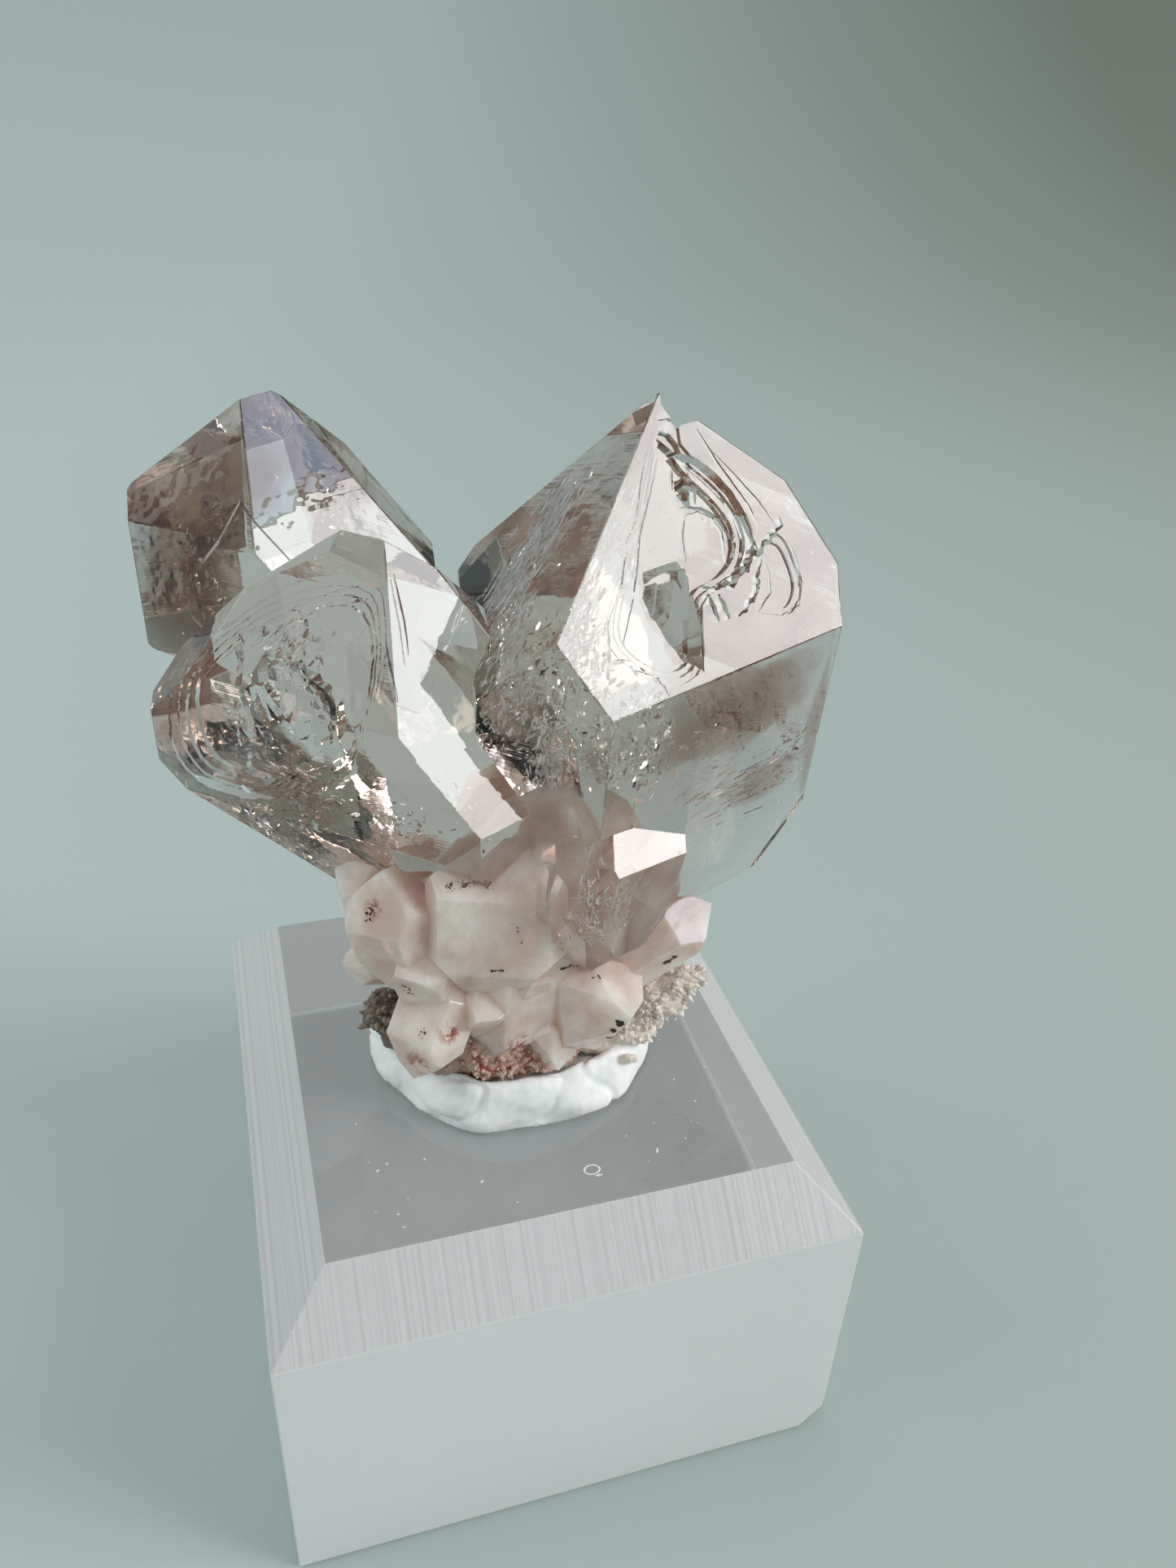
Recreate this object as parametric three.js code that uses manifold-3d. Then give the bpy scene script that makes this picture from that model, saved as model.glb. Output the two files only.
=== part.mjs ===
// A fenster quartz cluster pressed into putty on a clear acrylic display block.
// Millimetres, +Z up. The origin is the middle of the block's underside.
import * as THREE from 'three';
import { ConvexGeometry } from 'three/addons/geometries/ConvexGeometry.js';
import { mergeVertices } from 'three/addons/utils/BufferGeometryUtils.js';
import Module from 'manifold-3d';

// The display block: a low square of cast acrylic with four polished bevels.
const BLOCK_WIDTH = 38.1;
const BLOCK_DEPTH = 40.6;
const BLOCK_HEIGHT = 25;
const BEVEL_WIDTH = 4.1;
const BEVEL_RISE = 3.8;
const CHIP = 0.9;

// Quartz faces by the angle from the axis to the way they look: m prism, p upper and q lower pyramid,
// s and t the steep faces that taper a prism upwards and downwards.
const FACE_ANGLES = { m: 90, p: 51.79, q: 128.21, s: 84, t: 112 };

// Touching pieces keep this gap.
const GAP = 0.3;

// The specimen is flat underneath, and stands this high in the putty.
const CLUSTER_FLOOR = 29;
const CRUST_FLOOR = 27.2;
const CRUST_TOP = CLUSTER_FLOOR - GAP;

// The three large crystals grew side by side with their axes almost parallel.
// lean: degrees from upright. towards: the azimuth it leans to. turn: the azimuth that face 0 looks to.
// faces: millimetres from the centre to each face, numbered anticlockwise seen from above.
const RIGHT_CRYSTAL = {
  centre: [8, 3, 53], lean: 7.2, towards: -96, turn: -68,
  faces: {
    m0: 9.9, m1: 12.8, m2: 7.1, m3: 10.3, m4: 10.3, m5: 13.1,
    p0: 10.6, p1: 14.7, p2: 11.6, p3: 11.1, p4: 10.2,
    q0: 16.1, q1: 15.8, q2: 9.1, q3: 7.8, q4: 15.4, q5: 15.6,
  },
};
const LEFT_CRYSTAL = {
  centre: [-7, 0, 50], lean: 8.5, towards: -91.5, turn: -65,
  faces: {
    m0: 8.8, m1: 12.4, m2: 9.8, m3: 11.4, m4: 14.6, m5: 5.0,
    p0: 6.4, p1: 8.7, p2: 9.2, p3: 11.5, p4: 12.5, p5: 6.9,
    q0: 14.1, q1: 12.0, q2: 11.0, q3: 8.8, q4: 13.0, t5: 6.06,
  },
};
const BACK_CRYSTAL = {
  centre: [-11, 7, 58], lean: 8.8, towards: -126, turn: -67,
  faces: {
    m1: 7.6, m2: 7.2, m3: 9.3, m4: 11.5, m5: 3.1, s4: 10.7,
    p0: 2.9, p1: 6.0, p2: 9.4, p3: 10.1, p4: 11.4, p5: 5.0,
    q0: 9.6, q1: 11.3, q2: 9.0, q3: 9.4, q4: 13.4, q5: 5.6,
  },
};

// A low crystal on the back crystal's front face, in step with it.
const SIDE_CRYSTAL = {
  centre: [-15.8, 6.5, 58.8], lean: 8.8, towards: -126, turn: -67,
  faces: {
    m0: 3.6, m2: 4.0, m3: 4.0, m4: 3.0, m5: 0.5,
    p0: 3.4, p1: 4.0, p3: 4.0, p4: 1.9, p5: 1.95,
    q0: 2.2, q2: 4.0, q3: 4.0, q4: 4.2, q5: 2.6,
  },
};

// The base crystal with the one bright end face.
const BRIGHT_CRYSTAL = {
  centre: [4.5, -6.5, 42.5], lean: 15.6, towards: 14, turn: -55,
  faces: {
    m0: 3.0, m1: 4.4, m2: 5.0, m3: 5.0, m4: 5.2, m5: 5.1,
    p0: 4.1, p1: 5.7, p2: 6.0, p3: 1.9, p5: 6.0,
    q0: 4.6, q1: 4.6, q2: 6.0, q3: 6.0, q4: 5.0, q5: 4.4,
  },
};

// The habit of the base crystals: each face's share of the radius, as usual and with a broad front.
const HABIT = [1, 0.86, 1.12, 0.92, 1.08, 0.9];
const WIDE_HABIT = [1, 1.5, 1.2, 1, 1.1, 1.55];

// The base crystals spread out from the root like a fan.
// radius: prism. tip and root: how far the two ends reach from the middle, along the axis.
const BASE_CRYSTALS = [
  { centre: [-0.5, -1.5, 36], lean: 4, towards: 40, turn: -80, radius: 6.4, tip: 12, root: 14 },
  {
    centre: [-2.3, -5.6, 39.8], lean: 9, towards: 68, turn: -106, radius: 2.9, tip: 6.6, root: 6.5,
    habit: WIDE_HABIT,
  },
  { centre: [1.6, -3.6, 42.8], lean: 12, towards: -30, turn: -98, radius: 3.4, tip: 8, root: 8 },
  { centre: [-8.3, -3.9, 39.2], lean: 14, towards: -150, turn: -68, radius: 2.7, tip: 5.6, root: 5.6 },
  { centre: [-9.6, -1.4, 40.2], lean: 42, towards: 178, turn: -120, radius: 1.6, tip: 3.6, root: 5 },
  { centre: [-6.4, -4.8, 36.3], lean: 66, towards: -140, turn: -60, radius: 2.3, tip: 4.4, root: 5 },
  { centre: [-9.7, -2.4, 35.4], lean: 74, towards: -170, turn: -30, radius: 1.4, tip: 2.6, root: 5 },
  { centre: [-6.0, -5.6, 33.4], lean: 146, towards: -140, turn: -85, radius: 2.5, tip: 5.5, root: 4.8 },
  { centre: [-3.3, -6.2, 33.8], lean: 74, towards: -112, turn: -30, radius: 1.9, tip: 3.4, root: 5 },
  { centre: [-0.5, -6.4, 35.6], lean: 62, towards: -96, turn: -20, radius: 1.8, tip: 3.0, root: 5 },
  { centre: [3.8, -6.4, 33.2], lean: 76, towards: -70, turn: 20, radius: 3.2, tip: 5.2, root: 6 },
  { centre: [0.9, -6.2, 31.2], lean: 118, towards: -88, turn: 10, radius: 1.9, tip: 3.8, root: 5 },
  { centre: [8.6, -4.8, 35.8], lean: 52, towards: -12, turn: -70, radius: 2.3, tip: 5.4, root: 6 },
  { centre: [6.6, -2.6, 39.4], lean: 28, towards: -28, turn: -52, radius: 3.2, tip: 6.2, root: 7 },
  { centre: [5.6, 3.4, 37.2], lean: 48, towards: 36, turn: 60, radius: 3.1, tip: 6.6, root: 7 },
  { centre: [-1.6, 5.0, 38.0], lean: 44, towards: 98, turn: 70, radius: 3.3, tip: 7.2, root: 7 },
  { centre: [-7.4, 2.6, 37.0], lean: 52, towards: 158, turn: 120, radius: 2.8, tip: 5.8, root: 6 },
  { centre: [8.4, 0.6, 33.8], lean: 76, towards: 12, turn: 20, radius: 2.3, tip: 4.4, root: 6 },
  { centre: [2.0, 5.6, 33.0], lean: 78, towards: 80, turn: 40, radius: 2.4, tip: 4.8, root: 6 },
  { centre: [-5.6, 4.2, 32.6], lean: 82, towards: 132, turn: 100, radius: 2.2, tip: 4.2, root: 6 },
];

// Skeletal growth left windows in the large faces: the rims grew ahead of the middles.
// Outlines are millimetres across and up the face, from the foot of the crystal's centre.
const RIGHT_WINDOWS = [
  {
    depth: 0.4,
    outline: [[0.4, 12.4], [-1.9, 9.9], [-4.8, 5.9], [-6.9, 3.6], [-8.0, 1.8], [-7.5, 0.4], [-5.2, -1.8],
      [-2.4, -1.7], [-1.2, 1.0], [-0.4, 2.1], [1.7, 2.3], [3.6, 3.0], [4.5, 4.6], [4.4, 6.0], [3.7, 7.8],
      [2.5, 9.4], [1.4, 10.6], [1.6, 11.9]],
  },
  {
    depth: 0.75,
    outline: [[0.2, 11.2], [-1.4, 9.2], [-4.0, 5.6], [-6.0, 3.2], [-6.8, 1.7], [-6.2, 0.2], [-4.4, -1.2],
      [-2.6, -0.9], [-1.9, 1.2], [-0.8, 2.6], [1.6, 3.0], [3.1, 4.0], [3.4, 5.6], [2.6, 7.4], [1.3, 9.2]],
  },
  {
    depth: 2.6,
    outline: [[-3.7, 3.9], [-0.9, 3.8], [-1.0, 2.1], [-0.5, 1.9], [-1.2, 1.0], [-2.4, -1.5], [-3.3, -0.1],
      [-3.4, 1.4], [-4.0, 2.6], [-4.2, 3.3]],
  },
  { depth: 1.2, outline: [[0.6, 8.8], [2.0, 8.4], [1.5, 7.2], [0.6, 7.1], [0.2, 7.8]] },
  {
    depth: 0.3,
    outline: [[5.4, 4.4], [6.7, 3.8], [7.0, 1.8], [6.6, 0.3], [5.2, -0.6], [3.2, 0.2], [1.6, 0.3], [3.4, 1.3],
      [4.4, 3.2]],
  },
  {
    depth: 2.4,
    outline: [[0.9, 13.3], [1.3, 12.2], [1.6, 11.7], [2.1, 11.8], [3.3, 11.8], [4.0, 13.6], [1.8, 15]],
  },
];
const LEFT_WINDOWS = [
  {
    depth: 0.5,
    outline: [[-12.6, 0.7], [-11.4, 4.0], [-8.7, 7.2], [-5.9, 9.6], [-2.7, 10.6], [-1.2, 10.4],
      [-0.3, 8.6], [0.4, 6.0], [0.4, 3.8], [-0.5, 0.9], [-2.0, -1.6], [-5.4, -3.7], [-8.8, -4.7],
      [-11.4, -4.3], [-12.8, -2.4]],
  },
  {
    depth: 1.1,
    outline: [[-11.2, 1.5], [-9.7, 4.6], [-7.5, 6.9], [-4.6, 8.4], [-2.2, 8.6], [-1.0, 7.0], [-0.5, 4.9],
      [-0.6, 2.6], [-1.9, 0.0], [-5.3, -2.2], [-8.6, -3.0], [-10.8, -2.2]],
  },
  {
    depth: 3.2,
    outline: [[-8.1, 5.2], [-6.2, 4.3], [-3.6, 4.0], [-2.3, 3.0], [-2.7, 0.2], [-4.4, -1.5], [-5.8, 0.6],
      [-6.9, 2.2], [-8.2, 3.0], [-8.8, 4.4]],
  },
];

// The putty: its edge's distance from its middle, every 30 degrees from +X.
const PUTTY_CENTRE = [-0.5, -2];
const PUTTY_RADII = [10.4, 10.2, 9.8, 9.6, 9.8, 10.4, 9.7, 8.6, 8.4, 8.0, 8.5, 9.8];
// Its section: share of the radius, and height over the block.
const PUTTY_SECTION = [
  [0.97, 0], [1, 0.5], [1, 1.4], [0.96, 2.4], [0.9, 3.3], [0.83, 3.8], [0.76, 3.5], [0.7, 2.6],
];
const PUTTY_POCKET = CRUST_FLOOR - GAP - BLOCK_HEIGHT;
const PUTTY_STEPS = 60;

// The crust: rocky lumps of matrix and fine druse, some of them rust-stained.
const CRUST_RADIUS = 5.8;
const CRUST_LUMPS = [
  { centre: [-2.2, -6.6, 29.9], size: [3.2, 1.7, 2.0] },
  { centre: [-5.2, -5.2, 29.0], size: [2.2, 1.8, 1.5] },
  { centre: [1.0, -6.4, 28.6], size: [2.4, 1.5, 1.2] },
  { centre: [4.6, -4.4, 28.4], size: [2.6, 2.4, 1.3] },
  { centre: [7.2, -5.0, 29.0], size: [2.3, 2.1, 1.7] },
  { centre: [9.2, -5.4, 30.8], size: [1.9, 1.5, 1.6] },
  { centre: [10.9, -5.6, 32.4], size: [1.8, 1.2, 1.2] },
  { centre: [-7.0, -2.0, 28.6], size: [2.6, 2.2, 1.6] },
  { centre: [-9.2, -1.4, 30.4], size: [1.7, 1.8, 1.7] },
  { centre: [-4.4, 4.0, 29.6], size: [2.6, 2.0, 1.7] },
  { centre: [3.6, 4.6, 29.4], size: [2.6, 2.2, 1.6] },
];
const LUMP_ROUGHNESS = 0.22;

const wasm = await Module();
wasm.setup();

const vector = (x, y, z) => new THREE.Vector3(x, y, z);

// A unit vector at an azimuth and a lean from upright, both in degrees.
function direction(azimuth, lean) {
  const a = THREE.MathUtils.degToRad(azimuth);
  const t = THREE.MathUtils.degToRad(lean);
  return vector(Math.sin(t) * Math.cos(a), Math.sin(t) * Math.sin(a), Math.cos(t));
}

// A three.js geometry as a manifold solid.
function solid(geometry) {
  const bare = geometry.clone();
  bare.deleteAttribute('normal');
  bare.deleteAttribute('uv');
  const welded = mergeVertices(bare, 1e-4);
  return new wasm.Manifold(new wasm.Mesh({
    numProp: 3,
    vertProperties: new Float32Array(welded.attributes.position.array),
    triVerts: new Uint32Array(welded.index.array),
  }));
}

// A manifold solid as a three.js geometry.
function geometryOf(manifold) {
  const mesh = manifold.getMesh();
  const geometry = new THREE.BufferGeometry();
  geometry.setAttribute('position', new THREE.BufferAttribute(mesh.vertProperties, 3));
  geometry.setIndex(new THREE.BufferAttribute(mesh.triVerts, 1));
  geometry.computeVertexNormals();
  return geometry;
}

// The convex solid inside a set of planes. Every corner is where three meet and no other cuts it off.
function insidePlanes(planes) {
  const corners = [];
  for (let i = 0; i < planes.length; i += 1) {
    for (let j = i + 1; j < planes.length; j += 1) {
      const line = planes[i].normal.clone().cross(planes[j].normal);
      if (line.length() < 1e-3) continue;
      for (let k = j + 1; k < planes.length; k += 1) {
        const corner = meet(planes[i], planes[j], planes[k]);
        if (!corner) continue;
        if (planes.some((p) => p.normal.dot(corner) > p.distance + 1e-5)) continue;
        if (corners.some((c) => c.distanceTo(corner) < 1e-3)) continue;
        corners.push(corner);
      }
    }
  }
  return solid(new ConvexGeometry(corners));
}

// The point where three planes meet.
function meet(a, b, c) {
  const bc = b.normal.clone().cross(c.normal);
  const volume = a.normal.dot(bc);
  if (Math.abs(volume) < 1e-4) return null;
  const ca = c.normal.clone().cross(a.normal);
  const ab = a.normal.clone().cross(b.normal);
  return bc.multiplyScalar(a.distance)
    .add(ca.multiplyScalar(b.distance))
    .add(ab.multiplyScalar(c.distance))
    .divideScalar(volume);
}

// A crystal's axis, and the way face 0 looks, square to the axis.
function crystalAxes({ lean, towards, turn }) {
  const axis = direction(towards, lean);
  const level = direction(turn, 90);
  const front = level.addScaledVector(axis, -level.dot(axis)).normalize();
  return { axis, front, side: axis.clone().cross(front) };
}

// The outward normal of a face such as m0, p3 or q5.
function faceNormal(axes, name) {
  const around = THREE.MathUtils.degToRad(60 * Number(name[1]));
  const out = axes.front.clone().multiplyScalar(Math.cos(around));
  out.addScaledVector(axes.side, Math.sin(around));
  const angle = THREE.MathUtils.degToRad(FACE_ANGLES[name[0]]);
  return out.multiplyScalar(Math.sin(angle)).addScaledVector(axes.axis, Math.cos(angle));
}

// A crystal with all its faces moved out by grow, or in where grow is negative.
function crystal(spec, grow = 0) {
  const axes = crystalAxes(spec);
  const centre = vector(...spec.centre);
  return insidePlanes(Object.entries(spec.faces).map(([name, distance]) => {
    const normal = faceNormal(axes, name);
    return { normal, distance: distance + grow + normal.dot(centre) };
  }));
}

// A base crystal: a hexagonal prism of uneven habit with a pyramid at each end.
function baseCrystal(spec, grow = 0) {
  const flatten = Math.cos(THREE.MathUtils.degToRad(FACE_ANGLES.p));
  const habit = spec.habit ?? HABIT;
  const faces = {};
  habit.forEach((share, k) => {
    faces[`m${k}`] = spec.radius * share;
    faces[`p${k}`] = spec.tip * flatten * (spec.habit ? share : HABIT[(k + 2) % 6]);
    faces[`q${k}`] = spec.root * flatten * HABIT[(k + 3) % 6];
  });
  return crystal({ ...spec, faces }, grow);
}

// A prism over an outline drawn across and up a face, reaching from inside the crystal to past the face.
function windowPrism(spec, normal, across, outline, reach) {
  const shape = new THREE.Shape(outline.map(([x, y]) => new THREE.Vector2(x, y)));
  const prism = new THREE.ExtrudeGeometry(shape, { depth: 2 * reach, bevelEnabled: false });
  prism.translate(0, 0, -reach);
  const up = normal.clone().cross(across);
  prism.applyMatrix4(new THREE.Matrix4().makeBasis(across, up, normal));
  return prism;
}

// What skeletal growth left out of a face: the outline's prism, less the crystal's inner layers.
function windowCut(spec, names, { outline, depth }) {
  const axes = crystalAxes(spec);
  const normal = names.reduce((sum, name) => sum.add(faceNormal(axes, name)), vector(0, 0, 0)).normalize();
  const across = axes.axis.clone().cross(normal).normalize();
  const distance = Math.max(...names.map((name) => spec.faces[name]));
  const reach = depth + 3;
  const prism = windowPrism(spec, normal, across, outline, reach);
  const place = vector(...spec.centre).addScaledVector(normal, distance);
  prism.translate(place.x, place.y, place.z);
  return solid(prism).subtract(crystal(spec, -depth));
}

// Everything under a level.
function below(level) {
  const box = new THREE.BoxGeometry(80, 80, 80);
  box.translate(0, 0, level - 40);
  return solid(box);
}

// All the crystals, grown together, with the underside flat.
function cluster(grow) {
  let body = crystal(RIGHT_CRYSTAL, grow);
  for (const spec of [LEFT_CRYSTAL, BACK_CRYSTAL, SIDE_CRYSTAL, BRIGHT_CRYSTAL]) {
    body = body.add(crystal(spec, grow));
  }
  for (const spec of BASE_CRYSTALS) body = body.add(baseCrystal(spec, grow));
  return body.subtract(below(CLUSTER_FLOOR - grow));
}

function quartzCluster() {
  let body = cluster(0);
  for (const pane of RIGHT_WINDOWS) body = body.subtract(windowCut(RIGHT_CRYSTAL, ['p0'], pane));
  for (const pane of LEFT_WINDOWS) body = body.subtract(windowCut(LEFT_CRYSTAL, ['p5', 'm5'], pane));
  return body;
}

// A repeatable spread of numbers between -1 and 1.
function scatter(seed) {
  const wave = Math.sin(seed * 12.9898) * 43758.5453;
  return 2 * (wave - Math.floor(wave)) - 1;
}

// A rocky lump: a rough ball drawn out to the given half sizes.
function lump({ centre, size }, seed, grow = 0) {
  const ball = new THREE.IcosahedronGeometry(1, 1).attributes.position;
  const points = [];
  for (let i = 0; i < ball.count; i += 1) {
    const way = vector(ball.getX(i), ball.getY(i), ball.getZ(i));
    const grain = way.clone().multiplyScalar(40).round();
    const rough = scatter(grain.x + 3 * grain.y + 7 * grain.z + seed);
    const stretch = 1 + LUMP_ROUGHNESS * rough;
    points.push(vector(
      centre[0] + way.x * (size[0] * stretch + grow),
      centre[1] + way.y * (size[1] * stretch + grow),
      centre[2] + way.z * (size[2] * stretch + grow),
    ));
  }
  return solid(new ConvexGeometry(points));
}

// The crust's slab under the crystals, with its lumps.
function crust(grow) {
  const thickness = CRUST_TOP - CRUST_FLOOR + 2 * grow;
  const plate = new THREE.CylinderGeometry(CRUST_RADIUS + grow, CRUST_RADIUS - 0.8 + grow, thickness, 18);
  plate.rotateX(Math.PI / 2);
  plate.translate(PUTTY_CENTRE[0], PUTTY_CENTRE[1], (CRUST_TOP + CRUST_FLOOR) / 2);
  let body = solid(plate);
  CRUST_LUMPS.forEach((spec, i) => {
    body = body.add(lump(spec, i, grow));
  });
  return body.subtract(below(CRUST_FLOOR - grow));
}

// The largest of the pieces that a cut leaves; the crumbs that it frees are left out.
function largest(manifold) {
  return manifold.decompose().reduce((best, part) => (part.volume() > best.volume() ? part : best));
}

function matrixCrust() {
  return largest(crust(0).subtract(cluster(GAP)));
}

// The putty's radius at an azimuth in turns, smooth between the listed ones.
function puttyRadius(turns) {
  const place = turns * PUTTY_RADII.length;
  const before = Math.floor(place) % PUTTY_RADII.length;
  const after = (before + 1) % PUTTY_RADII.length;
  const blend = (1 - Math.cos(Math.PI * (place - Math.floor(place)))) / 2;
  return PUTTY_RADII[before] * (1 - blend) + PUTTY_RADII[after] * blend;
}

// The putty's skin: rings of its section, closed by a point under and a point in the pocket's floor.
function puttyShape() {
  const rings = [...PUTTY_SECTION, [0.62, PUTTY_POCKET]];
  const points = [];
  for (const [share, height] of rings) {
    for (let i = 0; i < PUTTY_STEPS; i += 1) {
      const turns = i / PUTTY_STEPS;
      const angle = 2 * Math.PI * turns;
      const dent = 1 + 0.018 * Math.sin(5 * angle + height) + 0.012 * Math.sin(11 * angle - 2 * height);
      const radius = puttyRadius(turns) * share * dent;
      const rise = height > PUTTY_POCKET ? height * (1 + 0.05 * Math.sin(3 * angle + 1)) : height;
      points.push(PUTTY_CENTRE[0] + radius * Math.cos(angle), PUTTY_CENTRE[1] + radius * Math.sin(angle),
        BLOCK_HEIGHT + rise);
    }
  }
  const under = points.length / 3;
  points.push(PUTTY_CENTRE[0], PUTTY_CENTRE[1], BLOCK_HEIGHT);
  points.push(PUTTY_CENTRE[0], PUTTY_CENTRE[1], BLOCK_HEIGHT + PUTTY_POCKET);
  const faces = [];
  for (let i = 0; i < PUTTY_STEPS; i += 1) {
    const next = (i + 1) % PUTTY_STEPS;
    faces.push(under, next, i);
    for (let r = 0; r + 1 < rings.length; r += 1) {
      const low = r * PUTTY_STEPS;
      const high = low + PUTTY_STEPS;
      faces.push(low + i, low + next, high + next, low + i, high + next, high + i);
    }
    const last = (rings.length - 1) * PUTTY_STEPS;
    faces.push(last + i, last + next, under + 1);
  }
  const geometry = new THREE.BufferGeometry();
  geometry.setAttribute('position', new THREE.Float32BufferAttribute(points, 3));
  geometry.setIndex(faces);
  return solid(geometry);
}

function mountingPutty() {
  return largest(puttyShape().subtract(cluster(GAP)).subtract(crust(GAP)));
}

// The block: sides, top, four bevels, and a chipped corner near the front right of its underside.
function acrylicBlock() {
  const halfWidth = BLOCK_WIDTH / 2;
  const halfDepth = BLOCK_DEPTH / 2;
  const planes = [
    { normal: vector(0, 0, -1), distance: 0 },
    { normal: vector(0, 0, 1), distance: BLOCK_HEIGHT },
  ];
  for (const [x, y, half] of [[1, 0, halfWidth], [-1, 0, halfWidth], [0, 1, halfDepth], [0, -1, halfDepth]]) {
    planes.push({ normal: vector(x, y, 0), distance: half });
    const normal = vector(x * BEVEL_RISE, y * BEVEL_RISE, BEVEL_WIDTH).normalize();
    const edge = vector(x * half, y * half, BLOCK_HEIGHT - BEVEL_RISE);
    planes.push({ normal, distance: normal.dot(edge) });
  }
  const corner = vector(halfWidth, -halfDepth, 0);
  const chip = vector(1, -0.7, -0.8).normalize();
  planes.push({ normal: chip, distance: chip.dot(corner) - CHIP });
  return insidePlanes(planes);
}

function piece(name, manifold, colour, roughness, opacity = 1) {
  const material = new THREE.MeshStandardMaterial({
    color: colour, roughness, metalness: 0, transparent: opacity < 1, opacity,
  });
  const mesh = new THREE.Mesh(geometryOf(manifold), material);
  mesh.name = name;
  return mesh;
}

const specimen = new THREE.Group();
specimen.add(
  piece('acrylic_block', acrylicBlock(), 0xdfe4e4, 0.1, 0.45),
  piece('mounting_putty', mountingPutty(), 0xeef2f2, 0.8),
  piece('matrix_crust', matrixCrust(), 0xb98a70, 0.9),
  piece('quartz_cluster', quartzCluster(), 0xcbbdb4, 0.05, 0.6),
);

export default specimen;
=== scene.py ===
import math
import random

import bpy
from mathutils import Matrix, Vector, noise


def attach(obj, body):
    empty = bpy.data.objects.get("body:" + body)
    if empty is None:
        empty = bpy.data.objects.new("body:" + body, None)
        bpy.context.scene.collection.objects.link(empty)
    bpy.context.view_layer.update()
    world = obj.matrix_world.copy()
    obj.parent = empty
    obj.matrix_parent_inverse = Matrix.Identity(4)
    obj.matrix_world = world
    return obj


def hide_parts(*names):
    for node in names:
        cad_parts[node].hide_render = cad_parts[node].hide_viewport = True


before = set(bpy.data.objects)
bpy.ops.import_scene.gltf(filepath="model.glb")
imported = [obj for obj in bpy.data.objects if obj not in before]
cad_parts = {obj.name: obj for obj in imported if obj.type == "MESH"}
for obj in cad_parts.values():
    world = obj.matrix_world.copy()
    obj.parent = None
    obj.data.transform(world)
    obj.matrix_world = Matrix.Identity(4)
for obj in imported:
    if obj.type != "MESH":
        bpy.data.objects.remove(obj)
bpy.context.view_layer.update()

MM = 0.001

# The display block, with its four bevels and the chip off its corner.
BLOCK_WIDTH = 38.1
BLOCK_DEPTH = 40.6
BLOCK_HEIGHT = 25
BEVEL_WIDTH = 4.1
BEVEL_RISE = 3.8
CHIP = 0.9

# The chip's cuts: the way each looks, and its share of the chip's depth.
CHIP_CUTS = (((1, -0.7, -0.8), 1), ((0.6, -1, -0.5), 0.9), ((1, -0.5, -1.3), 1))

CLUSTER_FLOOR = 29
CRUST_FLOOR = 27.2

# How far edges are worn, and the rough block that a crystal is cut from.
WORN_EDGE = 0.07
WORN_BASE_EDGE = 0.08
WORN_BLOCK_EDGE = 0.12
ROUGH_SIZE = 80

# The camera: place, the way to its right and the way it looks, then its film and the photo's width and
# focal length in pixels.
CAMERA_PLACE = (-16.483, -65.103, 87.525)
CAMERA_RIGHT = (0.9562, -0.2896, 0.0425)
CAMERA_AHEAD = (0.2685, 0.8100, -0.5214)
FILM_WIDTH = 36
PHOTO_WIDTH = 1445
PHOTO_FOCAL_LENGTH = 1502.94

# Soft lights round the cluster's middle: azimuth, height in degrees, distance, width and tallness in
# metres, power and tint. A big window to the front right, a small white and a blue-white one above it,
# a low one to the right, and a broad fill from the left that lets the backdrop darken to the right. The
# paper's colour also darkens to the right, as painted shade.
LIT_MIDDLE = 52
LIGHTS = (
    ("window_light", -28, 26.5, 0.62, 0.27, 0.22, 1.9, "#FFFFFF"),
    ("upper_light", -42, 41.5, 0.62, 0.1, 0.06, 0.2, "#FFFFFF"),
    ("sky_light", -44, 48.5, 0.62, 0.14, 0.08, 0.22, "#C9D8F2"),
    ("low_light", 3, 4.2, 0.62, 0.13, 0.1, 0.4, "#FFFFFF"),
    ("fill_light", 165, 40, 1.1, 0.9, 0.7, 3.0, "#F2F6F6"),
)
# The room is pale on this side, and this bright all round.
PALE_SIDE = (-0.62, 0.62, 0.48)
ROOM_STRENGTH = 0.95

# Quartz bends light by this much, and clear pieces let all of it through.
QUARTZ_IOR = 1.544
CLEAR = {"Base Color": "#FFFFFF", "Transmission Weight": 1.0}

# Quartz faces by the angle from the axis to the way they look: m prism, p upper and q lower pyramid,
# s and t the steep faces that taper a prism upwards and downwards.
FACE_ANGLES = {"m": 90, "p": 51.79, "q": 128.21, "s": 84, "t": 112}

# The large crystals: centre, lean from upright, azimuth leant to, azimuth of face 0, and how far each face
# lies from the centre.
RIGHT_CRYSTAL = {
    "centre": (8, 3, 53), "lean": 7.2, "towards": -96, "turn": -68,
    "faces": {"m0": 9.9, "m1": 12.8, "m2": 7.1, "m3": 10.3, "m4": 10.3, "m5": 13.1,
              "p0": 10.6, "p1": 14.7, "p2": 11.6, "p3": 11.1, "p4": 10.2,
              "q0": 16.1, "q1": 15.8, "q2": 9.1, "q3": 7.8, "q4": 15.4, "q5": 15.6},
}
LEFT_CRYSTAL = {
    "centre": (-7, 0, 50), "lean": 8.5, "towards": -91.5, "turn": -65,
    "faces": {"m0": 8.8, "m1": 12.4, "m2": 9.8, "m3": 11.4, "m4": 14.6, "m5": 5.0,
              "p0": 6.4, "p1": 8.7, "p2": 9.2, "p3": 11.5, "p4": 12.5, "p5": 6.9,
              "q0": 14.1, "q1": 12.0, "q2": 11.0, "q3": 8.8, "q4": 13.0, "t5": 6.06},
}
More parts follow.
